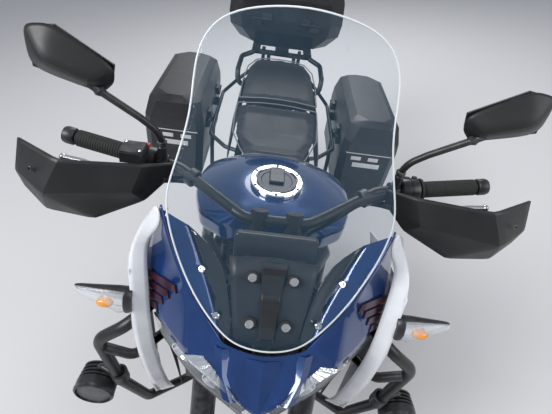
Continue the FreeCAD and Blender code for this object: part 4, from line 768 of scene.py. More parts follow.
def copies_tree() -> bpy.types.NodeTree:
    """Copies of one small mesh on marks that carry a turn.

    Returns:
        The group of Geometry Nodes.
    """
    desk = repeat_desk("placed_copies", {"Part": ("Object", None)})
    part = desk.add("GeometryNodeObjectInfo", in_Object=desk.given("Part"))
    turn = desk.add("GeometryNodeInputNamedAttribute", data_type="FLOAT_VECTOR", in_Name="turn")
    marks = desk.add("GeometryNodeMeshToPoints", in_Mesh=desk.given("Geometry"))
    euler = desk.add("FunctionNodeEulerToRotation", in_Euler=turn.outputs[0])
    spread = desk.add("GeometryNodeInstanceOnPoints", in_Points=marks.outputs[0],
                      in_Instance=part.outputs["Geometry"], in_Rotation=euler.outputs[0])
    return realized(desk, spread.outputs[0])


def run_tree(name: str, carrier: bpy.types.Object, values: dict[str, object]) -> Mesh:
    """Run a tree on an object and take the plain mesh it makes.

    Args:
        name: the tree.
        carrier: the object that carries the modifier; it is removed.
        values: input name to value.

    Returns:
        The mesh, in the carrier's own coordinates.
    """
    bpy.context.scene.collection.objects.link(carrier)
    modifier = carrier.modifiers.new(name, "NODES")
    modifier.node_group = group(name)
    for item in group(name).interface.items_tree:
        if item.in_out == "INPUT" and item.name in values:
            modifier[item.identifier] = values[item.name]
    bpy.context.view_layer.update()
    mesh = bpy.data.meshes.new_from_object(evaluated(carrier))
    carrier.modifiers.remove(modifier)
    bpy.data.objects.remove(carrier)
    bm = bmesh.new()
    bm.from_mesh(mesh)
    bpy.data.meshes.remove(mesh)
    for face in bm.faces:
        face.material_index = 0
    return bm


def evaluated(obj: bpy.types.Object) -> bpy.types.Object:
    """An object with its modifiers' work done."""
    return obj.evaluated_get(bpy.context.evaluated_depsgraph_get())


def tubes(paths: list, radius: float, bend: float = 40.0, sides: int = 20) -> Mesh:
    """Round tubes along paths.

    Args:
        paths: each path's points.
        radius: the tubes' radius.
        bend: the radius their corners are bent to.
        sides: the facets round them.

    Returns:
        The mesh, in the paths' own unit.
    """
    curve = bpy.data.curves.new("paths", "CURVE")
    curve.dimensions = "3D"
    for path in paths:
        spline = curve.splines.new("POLY")
        spline.points.add(len(path) - 1)
        for point, place in zip(spline.points, path):
            point.co = (*place, 1.0)
    bm = run_tree("tubes", bpy.data.objects.new("paths", curve),
                  {"Radius": radius, "Bend": bend, "Sides": sides})
    bmesh.ops.remove_doubles(bm, verts=bm.verts, dist=0.001)
    bmesh.ops.recalc_face_normals(bm, faces=bm.faces)
    return bm


def turned_to(aim: Vector) -> Vector:
    """The Euler angles that carry +Z to a direction."""
    return Vector(Vector(aim).to_track_quat("Z", "Y").to_matrix().to_euler())


def copies(part: Mesh, marks: list[tuple[Vector, Vector]]) -> Mesh:
    """Copies of a small mesh.

    Args:
        part: the mesh; it is freed.
        marks: for each copy its place and the Euler angles of its turn.

    Returns:
        All the copies as one mesh.
    """
    mesh = bpy.data.meshes.new("copied")
    part.to_mesh(mesh)
    part.free()
    sample = bpy.data.objects.new("copied", mesh)
    bpy.context.scene.collection.objects.link(sample)
    points = bpy.data.meshes.new("marks")
    points.from_pydata([tuple(place) for place, _turn in marks], [], [])
    turn = points.attributes.new("turn", "FLOAT_VECTOR", "POINT")
    turn.data.foreach_set("vector", [c for _place, angles in marks for c in angles])
    bm = run_tree("copies", bpy.data.objects.new("marks", points), {"Part": sample})
    bpy.data.objects.remove(sample)
    return bm


def bolts(radius: float, height: float, sides: int, marks: list[tuple[Vector, Vector]]) -> Mesh:
    """Round bolt heads with a socket.

    Args:
        radius: the heads' radius.
        height: their height.
        sides: the facets round them.
        marks: for each head its place and the Euler angles of its turn.

    Returns:
        All the heads as one mesh.
    """
    r, h = radius, height
    profile = [(-0.5, r), (h * 0.6, r), (h, r * 0.8), (h, r * 0.45), (h * 0.35, r * 0.42)]
    return copies(lathe(profile, Vector(), Z_AXIS, sides), marks)


def both_marks(*marks: tuple[Point, Point]) -> list[tuple[Vector, Vector]]:
    """Marks from places and directions on the left, with their mirror images."""
    return [(Vector(mirrored(place, side)), turned_to(Vector(mirrored(aim, side))))
            for place, aim in marks for side in (1, -1)]


# Sub-assemblies


SMOOTH_SIDES = 96
SPOKES = 5
DISC_STEPS = 160
DISC_BAND = 34
DISC_HOLES = 60
PETALS = 10
PETAL_DEPTH = 7


@dataclass
class Wheel:
    """One wheel: a tyre with its tread and a cast rim."""

    name: str
    centre: Vector
    radius: float
    width: float
    rim_width: float
    hub: float
    spoke: float
    pitches: int = 34
    bead: float = 218.0
    groove: float = 4.0
    tall: float = 58.0

    def crown(self, x: float, lift: float = 0.0) -> float:
        """The tyre's radius at a distance from its middle."""
        share = min(1.0, abs(x) / (self.width / 2))
        return self.radius - 0.5 - self.tall + self.tall * math.sqrt(1 - share * share) + lift

    def tyre(self) -> None:
        """The carcass, with blocks of tread in a pattern that repeats round it."""
        half, seat = self.width / 2, self.bead + 1.0
        bead = self.rim_width / 2 - 4.5
        side = [(bead, seat), (bead, seat + 14), (half - 6, seat + 24), (half - 1, seat + 36)]
        top = [(x, self.crown(x, -self.groove)) for x in
               (half * math.sin(math.radians(a)) for a in (84, 72, 60, 48, 36, 24, 12, 0))]
        rows = side + top + [(-x, r) for x, r in reversed(side + top[:-1])]
        parts = [lathe(rows, self.centre, X_AXIS, SMOOTH_SIDES, closed=True)]
        turn, w = TURN / self.pitches, half / 60
        marks = [(self.centre, Vector((a, 0, 0))) for a in around(self.pitches)]
        # Inner and outer edge, first and last share of a pitch, share of skew
        for inner, outer, first, last, skew in ((1.5, 20, 0.06, 0.92, 0.30), (-20, -1.5, 0.50, 1.36, -0.30),
                                                (24, 42, 0.10, 0.88, 0.42), (-42, -24, 0.54, 1.32, -0.42),
                                                (45, 57, 0.20, 0.80, 0.10), (-57, -45, 0.64, 1.24, -0.10)):
            block = self.block(inner * w, outer * w, turn * first, turn * last, turn * skew)
            parts.append(copies(block, marks))
        upright(f"{self.name}_tyre_tread", joined(*parts), TYRE, f"{self.name}_tyre", 30)

    def block(self, inner: float, outer: float, first: float, last: float, skew: float) -> Mesh:
        """One block of tread round an axle at the origin.

        Args:
            inner: its edge nearest the middle.
            outer: its other edge.
            first: the angle it starts at.
            last: the angle it ends at.
            skew: how far the angles shift from the middle to the tyre's side.

        Returns:
            The mesh.
        """
        rings = []
        for i in range(4):
            x = inner + (outer - inner) * i / 3
            a = skew * (abs(x) / (self.width / 2))
            top, foot = self.crown(x), self.crown(x, -self.groove - 1)
            corners = [(foot, first), (top, first + 0.006), (top, (first + last) / 2), (top, last - 0.006),
                       (foot, last)]
            rings.append([(x, r * math.cos(b + a), r * math.sin(b + a)) for r, b in corners])
        return loft(rings)

    def rim(self) -> None:
        """Barrel with lips, five pairs of spokes and the hub."""
        half, seat = self.rim_width / 2, self.bead
        rows = [(-half, seat + 11.5), (-half + 3, seat + 12), (-half + 5, seat + 1), (half - 5, seat + 1),
                (half - 3, seat + 12), (half, seat + 11.5), (half, seat - 5), (half - 8, seat - 5.5),
                (-half + 8, seat - 5.5), (-half, seat - 5)]
        barrel = lathe(rows, self.centre, X_AXIS, SMOOTH_SIDES, closed=True)
        w = self.spoke / 2
        tip = math.sqrt((seat - 2.5) ** 2 - (3.4 * w) ** 2) - 1
        plan = [(26, -w * 1.5), (26, w * 1.5), (70, w * 1.25), (tip, w * 3.4), (tip, w * 1.6), (92, 0),
                (tip, -w * 1.6), (tip, -w * 3.4), (70, -w * 1.25)]
        marks = [(self.centre, Vector((a, 0, 0))) for a in around(SPOKES)]
        spokes = copies(slab([(v, -u) for u, v in plan], -13, 13), marks)
        hub = bar(self.centre - X_AXIS * self.hub / 2, self.centre + X_AXIS * self.hub / 2, 34, 10.05, 48)
        name = f"{self.name}_rim"
        upright(f"{name}_spokes", spokes, WHEEL, name, 32, edge=3.5, steps=3)
        upright(f"{name}_barrel", joined(barrel, hub), WHEEL, name, 40)

    def disc(self, place: float, radius: float, tag: str, node: str) -> None:
        """A drilled petal disc on its carrier.

        Args:
            place: how far it stands to the left of the wheel's middle.
            radius: its outer radius.
            tag: what its pieces' names start with.
            node: the CAD node it stands for.
        """
        middle, inside = self.centre + X_AXIS * place, radius - DISC_BAND
        petals = [(radius - PETAL_DEPTH * (0.5 + 0.5 * math.cos(PETALS * a)) ** 3, a)
                  for a in around(DISC_STEPS)]
        ring = band([(inside, a) for _r, a in petals], petals, -2.5, 2.5)
        upright(f"{tag}_band", moved(ring, middle), STEEL, node, 30, edge=0.4)
        arms = [polar([(36, a - 0.4), (inside + 4, a - 0.16), (inside + 4, a + 0.16), (36, a + 0.4)],
                      -2.4, 2.4) for a in around(SPOKES)]
        hub = bar(middle - X_AXIS * 2.5, middle + X_AXIS * 2.5, 47, 34.4, 48)
        upright(f"{tag}_carrier", joined(moved(joined(*arms), middle), hub), ALUMINIUM, node, 30, edge=0.6)
        holes = [(middle + Vector((0, r * math.cos(a), r * math.sin(a))), Vector((0, math.pi / 2, 0)))
                 for a, r in ((a, inside + 8 + 8 * (i % 3)) for i, a in enumerate(around(DISC_HOLES)))]
        upright(f"{tag}_holes", copies(bar((0, 0, -2.6), (0, 0, 2.6), 2.8, sides=14), holes), POWDER,
                body=f"{self.name}_wheel")

    def build(self) -> None:
        """Make the wheel."""
        self.tyre()
        self.rim()


@dataclass
class Drive:
    """The chain's links and the driven sprocket."""

    x: float = 92.0
    pitch: float = 15.875
    rear_teeth: int = 46
    front_teeth: int = 15
    pins: int = 112
    arc_steps: int = 120
    front: tuple[float, float] = (105.0, 385.0)

    def pitch_radius(self, teeth: int) -> float:
        """The radius that the pins lie on round a sprocket."""
        return self.pitch / (2 * math.sin(math.pi / teeth))

    def path(self) -> list[tuple[float, float, float]]:
        """The pins' places along the loop.

        Returns:
            For each pin y, z and the angle of the run there.
        """
        rear = (REAR_AXLE.y, REAR_AXLE.z)
        big, small = self.pitch_radius(self.rear_teeth), self.pitch_radius(self.front_teeth)
        dy, dz = rear[0] - self.front[0], rear[1] - self.front[1]
        slope = math.atan2(dz, dy)
        top = math.pi / 2 + math.asin((big - small) / math.hypot(dy, dz))
        runs = [(rear, big, slope + top, -2 * top), (self.front, small, slope - top, -(TURN - 2 * top))]
        points = [(cy + radius * math.cos(a), cz + radius * math.sin(a))
                  for (cy, cz), radius, first, sweep in runs
                  for a in (first + sweep * i / self.arc_steps for i in range(self.arc_steps + 1))]
        points.append(points[0])
        lengths = [math.dist(a, b) for a, b in zip(points, points[1:])]
        placed, made, i = 0.0, [], 0
        for k in range(self.pins):
            goal = sum(lengths) * k / self.pins
            while placed + lengths[i] < goal:
                placed += lengths[i]
                i += 1
            share = (goal - placed) / lengths[i]
            (y0, z0), (y1, z1) = points[i], points[i + 1]
            made.append((y0 + (y1 - y0) * share, z0 + (z1 - z0) * share, math.atan2(z1 - z0, y1 - y0)))
        return made

    def link(self, inner: float, outer: float) -> Mesh:
        """One link's two plates from its pin at the origin to the next one."""
        end = 6.8
        outline = [(cy + end * math.cos(a), end * math.sin(a))
                   for cy, start in ((self.pitch, -90), (0.0, 90))
                   for a in (math.radians(start + 22.5 * i) for i in range(9))]
        return joined(slab(outline, inner, outer), slab(outline, -outer, -inner))

    def build(self) -> None:
        """Make the chain and the sprocket."""
        marks = [(Vector((self.x, y, z)), Vector((a, 0, 0))) for y, z, a in self.path()]
        parts = [copies(self.link(3.6, 5.8), marks[::2]), copies(self.link(6.0, 8.2), marks[1::2])]
        parts += [copies(bar((-half, 0, 0), (half, 0, 0), radius, sides=sides), marks)
                  for half, radius, sides in ((3.5, 4.6, 12), (8.9, 2.4, 10))]
        upright("chain_links", joined(*parts), STEEL, "chain", 30)
        root = self.pitch_radius(self.rear_teeth) - 6
        teeth = [(root - (2.2 if i % 4 in (0, 3) else 0), a)
                 for i, a in enumerate(around(4 * self.rear_teeth))]
        ring = band([(88, a) for _r, a in teeth], teeth, -3, 3)
        arms = [polar([(50, a - 0.3), (90, a - 0.2), (90, a + 0.2), (50, a + 0.3)], -2.8, 2.8)
                for a in around(5, 0.5)]
        plate = joined(ring, bar((-3, 0, 0), (3, 0, 0), 54, 34.4, 48), *arms)
        upright("driven_sprocket", moved(plate, REAR_AXLE + X_AXIS * self.x), STEEL, "rear_sprocket", 30)


@dataclass
class Steering:
    """Fork legs, bar, grips, controls, guards and mirrors, all of which turn together."""

    half_space: float = 100.0
    inner_radius: float = 20.5
    sleeve_radius: float = 25.0
    foot_radius: float = 25.5
    axle_radius: float = 10.0
    bar_radius: float = 11.1
    grip_ribs: int = 22
    lever_radius: float = 6.2
    hose_radius: float = 4.2
    guard_wall: float = 4.0
    hood_wall: float = 3.0
    stalk_radius: float = 6.6
    bar_points: tuple[Point, ...] = ((0, -323.6, 1055), (60, -323.6, 1055), (196, -239, 1089.5),
                                     (402, -208.2, 1109.3))

    def __post_init__(self) -> None:
        """Work out the grip's line."""
        outer, inner = Vector(self.bar_points[3]), Vector(self.bar_points[2])
        self.way = (outer - inner).normalized()
        self.start = inner + self.way * 87

    def grip_at(self, distance: float, up: float = 0, ahead: float = 0) -> Vector:
        """A point on the left grip's line, moved up and ahead."""
        return self.start + self.way * distance + Vector((0, -ahead, up))

    def turned(self, rows: list[tuple[float, float]], sides: int = 40, closed: bool = False) -> Mesh:
        """A turned shape on the left grip's line."""
        return lathe(rows, self.start, self.way, sides, closed)

    def fork(self) -> None:
        """Inner tubes, sleeves, feet and the hollow axle."""
        x, f = self.half_space, FORK_OFFSET

        def legs(low: float, high: float, radius: float, sides: int = 40) -> Mesh:
            """A round bar along each leg."""
            return joined(*[bar(steer(side * x, f, low), steer(side * x, f, high), radius, sides=sides)
                            for side in (1, -1)])

        axle = bar(steer(-x - 24, f, 0), steer(x + 24, f, 0), self.axle_radius, 6.0)
        ends = [bar(steer(side * (x - 22), f, 0), steer(side * (x + 24), f, 0), 25, self.axle_radius, 36)
                for side in (1, -1)]
        inner = joined(legs(20, 325, self.inner_radius), axle)
        sleeves = joined(legs(318, 734, self.sleeve_radius), legs(733, 738, 18.5, 32))
        feet = joined(legs(312, 332, self.sleeve_radius + 2.5), legs(6, 86, self.foot_radius), *ends)
        for name, bm, look in (("inner_tubes", inner, STEEL), ("sleeves", sleeves, ANODISED),
                               ("feet", feet, CAST)):
            upright(f"fork_{name}", bm, look, "fork", 40)

    def bar_and_grips(self) -> None:
        """The bent bar, ribbed grips and end weights."""
        path = [mirrored(p) for p in reversed(self.bar_points[1:])] + list(self.bar_points[1:])
        upright("bent_handlebar", tubes([path], self.bar_radius, 60, 28), POWDER, "handlebar", 60)
        rows = [(0, 11.3), (0, 22.4), (1, 23), (4, 23), (5, 16.5)]
        for d in (8 + i * 4.9 for i in range(self.grip_ribs)):
            rows += [(d, 15.6), (d + 0.8, 16.5), (d + 3.2, 16.5), (d + 4, 15.6)]
        rows += [(117, 16.4), (118, 15.5), (118, 11.3)]
        upright("ribbed_grips", two_sides(self.turned(rows, closed=True)), RUBBER, "grips", 45)
        weight = self.turned([(122.5, 12), (123.5, 15), (126, 17), (140, 17), (145, 15.5), (147, 12)])
        upright("bar_end_weights", two_sides(weight), POWDER, "grips", 40)

    def controls(self) -> None:
        """Switch housings, perches, levers, reservoir and buttons."""
        g = self.grip_at
        house = self.turned([(-40, 20), (-38, 24), (-35, 25), (-24, 25), (-23, 23.6), (-21, 23.6), (-20, 25),
                             (-8, 25), (-5, 24), (-3, 20)])
        perch = self.turned([(-64, 15), (-62, 18), (-46, 18), (-44, 15)], 32)
        arm = tubes([[g(-54, 0, 10), g(-50, 0, 34), g(-24, -4, 56)]], 8, 20, 20)
        boss = bar(g(-54, 8, 4), g(-54, 42, 4), 9)
        upright("switches_and_perches", two_sides(joined(house, perch, arm, boss)), SATIN_PLASTIC,
                "hand_controls")
        lever = tubes([[g(-30, -4, 56), g(45, -8, 60), g(92, -10, 54), g(128, -10, 58)]],
                      self.lever_radius, 60, 20)
        ball = lathe([(0, 2), (1.5, 6), (6, 8.2), (10, 7), (13, 3)], g(120, -10, 57), self.way, 24)
        upright("brake_and_clutch_levers", two_sides(joined(lever, ball)), ALUMINIUM, "hand_controls", 60)
        pot = joined(box_mesh((-290, -296, 1127), (-248, -258, 1148)),
                     bar((-258, -252, 1104), (-262, -270, 1130), 10))
        upright("brake_reservoir", pot, SATIN_PLASTIC, "hand_controls", 40, edge=4, steps=3)
        lid = box_mesh((-289, -295, 1147), (-249, -259, 1152))
        upright("reservoir_lid", lid, POWDER, smooth=40, edge=2, body="steering")
        screws = [(Vector((x, y, 1151.6)), NO_TURN) for x, y in ((-284, -264), (-254, -290))]
        upright("reservoir_screws", bolts(2.8, 1.6, 14, screws), CHROME, body="steering")
        left = [[g(-60, 6, 14), (150, -296, 1106), (96, -318, 1076), (44, -306, 1010), steer(34, 46, 742)],
                [g(-60, -4, 14), (150, -290, 1090), (104, -306, 1052), (60, -298, 1000), steer(52, 44, 742)]]
        hoses = tubes(left + [[mirrored(p) for p in left[0]]], self.hose_radius, 30, 14)
        upright("brake_and_clutch_hoses", hoses, RUBBER, smooth=60, body="steering")
        red = box_mesh((-6, -5, -3), (6, 5, 4), Matrix.Translation(g(-20, 25, -6)))
        upright("cut_out_switch", flipped(red), RED, edge=1.5, body="steering")
        rocker = [box_mesh((-5, -4, -3), (5, 4, 3), Matrix.Translation(g(*at)))
                  for at in ((-30, 22, -11), (-14, 22, -11), (-22, 12, -22))]
        upright("switch_buttons", joined(*rocker), BLACK_PLASTIC, edge=1.2, body="steering")

    def guards(self) -> None:
        """Open-ended shields ahead of the grips."""
        points = [(205, -262, 1116), (246, -302, 1134), (370, -342, 1152), (462, -285, 1146),
                  (212, -262, 1084), (262, -330, 1092), (400, -362, 1094), (474, -300, 1088),
                  (252, -300, 1052), (330, -340, 1030), (420, -330, 1032), (468, -298, 1052)]
        shield = sheet_mesh(points, "abfe bcgf cdhg efi fgji gkj ghlk", False, 14, 0.6, 1.0)
        obj = upright("wind_shields", two_sides(shield), BLACK_PLASTIC, "handguards", 30)
        flowing(obj, 3, self.guard_wall)
        low, high = Vector(self.bar_points[1]), Vector(self.bar_points[2])
        middle, way = low + (high - low) * 0.8, (high - low).normalized()
        stay = tubes([[middle + Vector((0, 0, -8)), (206, -252, 1070), (224, -279, 1086)]], 7, 16, 20)
        clamp = bar(middle - way * 8, middle + way * 8, 18, 11.4)
        upright("shield_stays", two_sides(joined(stay, clamp)), POWDER, "handguards", 40)
        marks = both_marks(((246, -302, 1108), (-0.5, -0.85, 0.1)), ((425, -337, 1122), (0.35, -0.9, 0.2)))
        upright("shield_bolts", bolts(5, 2.5, 20, marks), POWDER, body="steering")

    def mirrors(self) -> None:
        """Housings with their glass, on bent stalks with a ball joint."""
        rim = [(292, -258, 1283), (378, -252, 1336), (424, -250, 1330), (430, -246, 1262), (322, -246, 1232),
               (298, -252, 1256)]
        back = [(388, -288, 1290), (330, -282, 1268)]
        hood = sheet_mesh(rim + back, "abgh bcg cdg dehg efh fah", False, 12, 0.35, 0.9)
        obj = upright("mirror_housings", two_sides(hood), BLACK_PLASTIC, "mirrors")
        flowing(obj, 3, self.hood_wall)
        outline = [Vector((x, 0, z)) for x, _y, z in rim]
        middle = sum(outline, Vector()) / len(outline)
        for name, scale, low, high, look in (("mirror_backs", 0.97, -249.5, -244.5, BLACK_PLASTIC),
                                             ("mirror_glass_panes", 0.9, -245, -242.6, MIRROR)):
            rings = [[(v.x, y, v.z) for v in (middle + (p - middle) * scale for p in outline)]
                     for y in (low, high)]
            upright(name, two_sides(loft(rings)), look, "mirrors", 30, edge=1.5, steps=3)
        path = [self.grip_at(-54, 43.3, 4), self.grip_at(-54, 70, 8), (262, -246, 1192), (336, -262, 1252)]
        ball = lathe([(-9, 3), (-7, 8), (0, 11), (7, 8), (9, 3)], Vector((322, -256, 1240)),
                     Vector((0.7, -0.1, 0.6)), 24)
        nut = bar(self.grip_at(-54, 43, 4), self.grip_at(-54, 53, 4), 9.5, sides=6)
        stalk = joined(tubes([path], self.stalk_radius, 50, 20), ball, nut)
        upright("mirror_stalks", two_sides(stalk), POWDER, "mirrors", 40)

    def build(self) -> None:
        """Make all that turns with the bar."""
        for make in (self.fork, self.bar_and_grips, self.controls, self.guards, self.mirrors):
            make()


NOSE = lettered([(0, -539, 938), (70, -519, 946), (134, -464, 1000), (178, -418, 1068), (196, -388, 1120),
                 (230, -394, 975), (206, -448, 902), (134, -524, 909), (30, -592, 894), (0, -606, 870),
                 (226, -360, 1010)])
LAMP = lettered([(12, -594, 866), (30, -588, 888), (132, -522, 905), (204, -446, 898), (196, -452, 852),
                 (120, -528, 838), (24, -586, 826)])


@dataclass
class Fairing:
    """Screen, nose, lamps, wings and instruments at the front."""

    screen_wall: float = 4.0
    panel_wall: float = 3.5
    skin_wall: float = 3.0
    flange_wall: float = 2.5
    lining_wall: float = 2.0
    trim_wall: float = 1.6
    bead_inset: float = 2.0
    bead_radius: float = 1.5
    bezel_radius: float = 3.2
    cheek_bars: int = 4
    corner_flutes: int = 9
    screen_bolts: tuple[Point, ...] = ((30, -494, 980), (34, -450, 1044))

    def screen(self) -> None:
        """The clear screen, one flowing sheet with two soft creases, and its bolts."""
        points = [(0, -533, 946), (62, -521, 952), (124, -476, 994), (168, -430, 1068), (189, -396, 1138),
                  (178, -372, 1180), (156, -318, 1262), (164, -272, 1330), (130, -238, 1392),
                  (0, -240, 1412), (0, -384, 1172), (0, -456, 1048), (84, -386, 1168), (96, -292, 1300),
                  (62, -460, 1042)]
        faces = "abol bco cdo dmo dem omkl efm fgm gnm ghn hin ijn njkm"
        sheet = sheet_mesh(points, faces, True, 9, 0.22, 0.55)
        obj = flowing(upright("clear_windscreen", sheet, SCREEN, "windscreen", 60), 3)
        self.bead(obj)
        flowing(obj, 0, self.screen_wall)
        out = Vector((0, -128, 88)).normalized()
        washers = [(Vector(mirrored(p, side)) + out * 9.5, turned_to(out)) for p in self.screen_bolts
                   for side in (1, -1)]
        rubber = copies(bar((0, 0, -2), (0, 0, 2.4), 10.5, sides=28), washers)
        upright("screen_washers", rubber, RUBBER)
        heads = bolts(7.5, 4.5, 24, [(place + out * 2.2, turn) for place, turn in washers])
        upright("screen_bolts", heads, CHROME)

    def bead(self, sheet: bpy.types.Object) -> None:
        """A near-white tube all round a clear sheet, just inside its edge: a painted highlight.

        Args:
            sheet: the sheet, before it gets its wall.
        """
        bpy.context.view_layer.update()
        bm = bmesh.new()
        bm.from_mesh(evaluated(sheet).to_mesh())
        rim = {v: [e.other_vert(v) for e in v.link_edges if e.is_boundary]
               for v in bm.verts if v.is_boundary}
        first = next(iter(rim))
        loop, here, before = [first], rim[first][0], first
        while here is not first:
            loop.append(here)
            here, before = next(v for v in rim[here] if v is not before), here
        path = [v.co - v.normal * (self.bead_inset / 1000) for v in loop]
        bm.free()
        radius = self.bead_radius / 1000
        # The tube's near-white finish is a painted highlight along the screen's edge.
        seated("screen_edge_bead", tubes([path + path[:1]], radius, radius / 3, 8), EDGE_HIGHLIGHT, smooth=60)

    def panel(self) -> None:
        """The black panel behind the screen with its raised channel."""
        points = [(0, -519, 944), (54, -509, 950), (76, -433, 1066), (0, -431, 1072), (20, -517, 945),
                  (26, -432, 1070)]
        sheet = sheet_mesh(points, "aefd ebcf", True, 3, 0.9, 1.0)
        obj = upright("screen_panel_skin", sheet, BLACK_PLASTIC, "screen_panel", 25)
        flowing(obj, 2, self.panel_wall)
        out = Vector((0, -122, 86)).normalized()
        rows = [(-513, 953, 11, 1), (-508, 960, 12, 9), (-470, 1014, 15, 11), (-466, 1020, 15, 7),
                (-440, 1058, 20, 11), (-435, 1065, 21, 1)]
        channel = loft([[Vector((x, y, z)) + out * lift for x, lift in
                         ((-half - 5, -2), (-half, tall), (half, tall), (half + 5, -2))]
                        for y, z, half, tall in rows])
        upright("screen_panel_channel", channel, SATIN_PLASTIC, smooth=30, edge=2.2)
        bosses = [bar(Vector(p) - out * 2, Vector(p) + out * 8, 9) for p in self.screen_bolts]
        upright("screen_panel_bosses", two_sides(joined(*bosses)), BLACK_PLASTIC, "screen_panel", 30)

    def nose(self) -> None:
        """The blue nose, creased, with the cowl's inner sides, its ridges and its bolts."""
        nose = sheet_mesh(NOSE, "abij bhi bch cgh cfg cdkf dek", True, 12, 0.8, 0.95, inside=True)
        flowing(upright("nose_skin", nose, BLUE, "nose_cowl", 30), 3, self.skin_wall)
        inside = lettered([(58, -506, 951), (79, -434, 1060), (71, -518, 943), (133, -463, 997),
                           (176, -417, 1064), (193, -390, 1112), (98, -462, 992), (122, -430, 1040),
                           (150, -398, 1092)])
        for name, faces, look in (("cowl_inner_sides", "cdhg deh efih", BLUE),
                                  ("cowl_inner_trim", "acg agb bgh bhi", DISPLAY)):
            used = {n: p for n, p in inside.items() if n in faces}
            side = sheet_mesh(used, faces, False, 10, 0.4, 0.9)
            flowing(upright(name, two_sides(side), look, smooth=40), 2, self.trim_wall)
        crest = [[(x, y, z), (0, y - drop, z + rise), (-x, y, z), (0, y - drop + 14, z + rise - 14)]
                 for x, y, z, drop, rise in ((-30, -537.5, 939, 7.5, 5), (-26, -566, 908, 10, 5),
                                             (-7, -604, 873, 5, 2))]
        rail = [[(x, y, z), (x + 12, y - 5, z + 5), (x + 25, y + 3, z)]
                for x, y, z in ((58, -527, 944), (52, -556, 912), (34, -588, 890))]
        upright("nose_ridges", joined(loft(crest), two_sides(loft(rail))), BLUE, smooth=25)
        marks = both_marks(((87, -487, 976), (0.2, -0.7, 0.65)), ((119, -439, 1034), (0.3, -0.65, 0.65)))
        upright("nose_bolts", bolts(6.5, 3.5, 24, marks), CHROME)

    def cheeks(self) -> None:
        """A plain pattern of slanted bars on each cheek of the nose."""
        c, f, g = (Vector(NOSE[n]) for n in "cfg")
        out = (g - f).cross(c - f).normalized()
        out = out if out.x > 0 else -out
        step = (g - f) * 0.078
        bars = []
        for i in range(self.cheek_bars):
            share = 0.10 + 0.21 * i
            low, high = f.lerp(g, share), c.lerp(g, share)
            low, high = low.lerp(high, 0.10), low.lerp(high, 0.78 - 0.05 * i)
            bars.append(loft([[p + out * lift for p in (low - step, high - step, high + step, low + step)]
                              for lift in (1.0, 3.6)]))
        upright("cheek_bars", two_sides(joined(*bars)), MAROON)

    def lamps(self) -> None:
        """Twin headlamps: clear covers, bowls and linings."""
        faces = "abg bcfg cdef"
        cover = sheet_mesh(LAMP, faces, False, 8, 0.4, 0.9, inside=True)
        flowing(upright("lamp_covers", two_sides(cover), LENS, "headlights", 40), 2, self.skin_wall)
        bowls = []
        for place, aim, r in (((72, -540, 868), (0.25, -0.95, 0), 27),
                              ((140, -494, 872), (0.55, -0.95, 0), 22)):
            way = Vector(aim).normalized()
            start = Vector(place) + way * 2
            bowls.append(lathe([(-5, 6), (-4, r * 0.55), (0, r * 0.86), (6, r), (6, r - 2), (1, r * 0.8),
                                (-2.5, r * 0.5), (-3.5, 4)], start, way, 36))
            bowls.append(lathe([(-3, 2), (-1, 6), (3, 6.5), (5, 3)], start, way, 20))
        upright("lamp_bowls", two_sides(joined(*bowls)), REFLECTOR, "headlights", 40)
        back = {n: (x * 0.97 + 3, y + 8, z + (-6 if n in "bcd" else 3)) for n, (x, y, z) in LAMP.items()}
        lining = sheet_mesh(back, faces, False, 8, 0.5, 0.9, inside=True)
        obj = upright("lamp_linings", two_sides(lining), REFLECTOR, "headlights", 25)
        flowing(obj, 0, self.lining_wall)

    def bezels(self) -> None:
        """Thin dark edges along the lamps' long sides."""
        brows = [tubes([[Vector(LAMP[n]) + Vector((0, 5, 0)) for n in pair]], self.bezel_radius, 5, 12)
                 for pair in ("bc", "cd", "gf", "fe")]
        upright("lamp_bezels", two_sides(joined(*brows)), SATIN_PLASTIC, smooth=40)

    def lamp_corners(self) -> None:
        """The lamps' upper corners on the nose: flutes under a clear cover."""
        b, h, i = (Vector(NOSE[n]) for n in "bhi")
        out = (i - h).cross(b - h).normalized()
        out = out if out.y < 0 else -out
        corner = [h, h.lerp(b, 0.35) + (i - h) * 0.12, h.lerp(b, 0.185) + (i - h) * 0.659, i]
        flutes, count = [], self.corner_flutes
        for n in range(count):
            near, far = n / count, (n + 1) / count
            quad = [corner[low].lerp(corner[high], at) for low, high, at in
                    ((0, 3, near), (1, 2, near), (1, 2, far), (0, 3, far))]
            flutes.append(loft([[p - out for p in quad],
                                [p + out * lift for p, lift in zip(quad, (0.6, 0.6, 4.2, 4.2))]]))
        upright("lamp_corner_flutes", two_sides(joined(*flutes)), REFLECTOR, smooth=20)
        patch = loft([[p + out * at for p in corner] for at in (4.6, 6.0)])
        upright("lamp_corner_covers", two_sides(patch), LENS, smooth=30, edge=0.8)

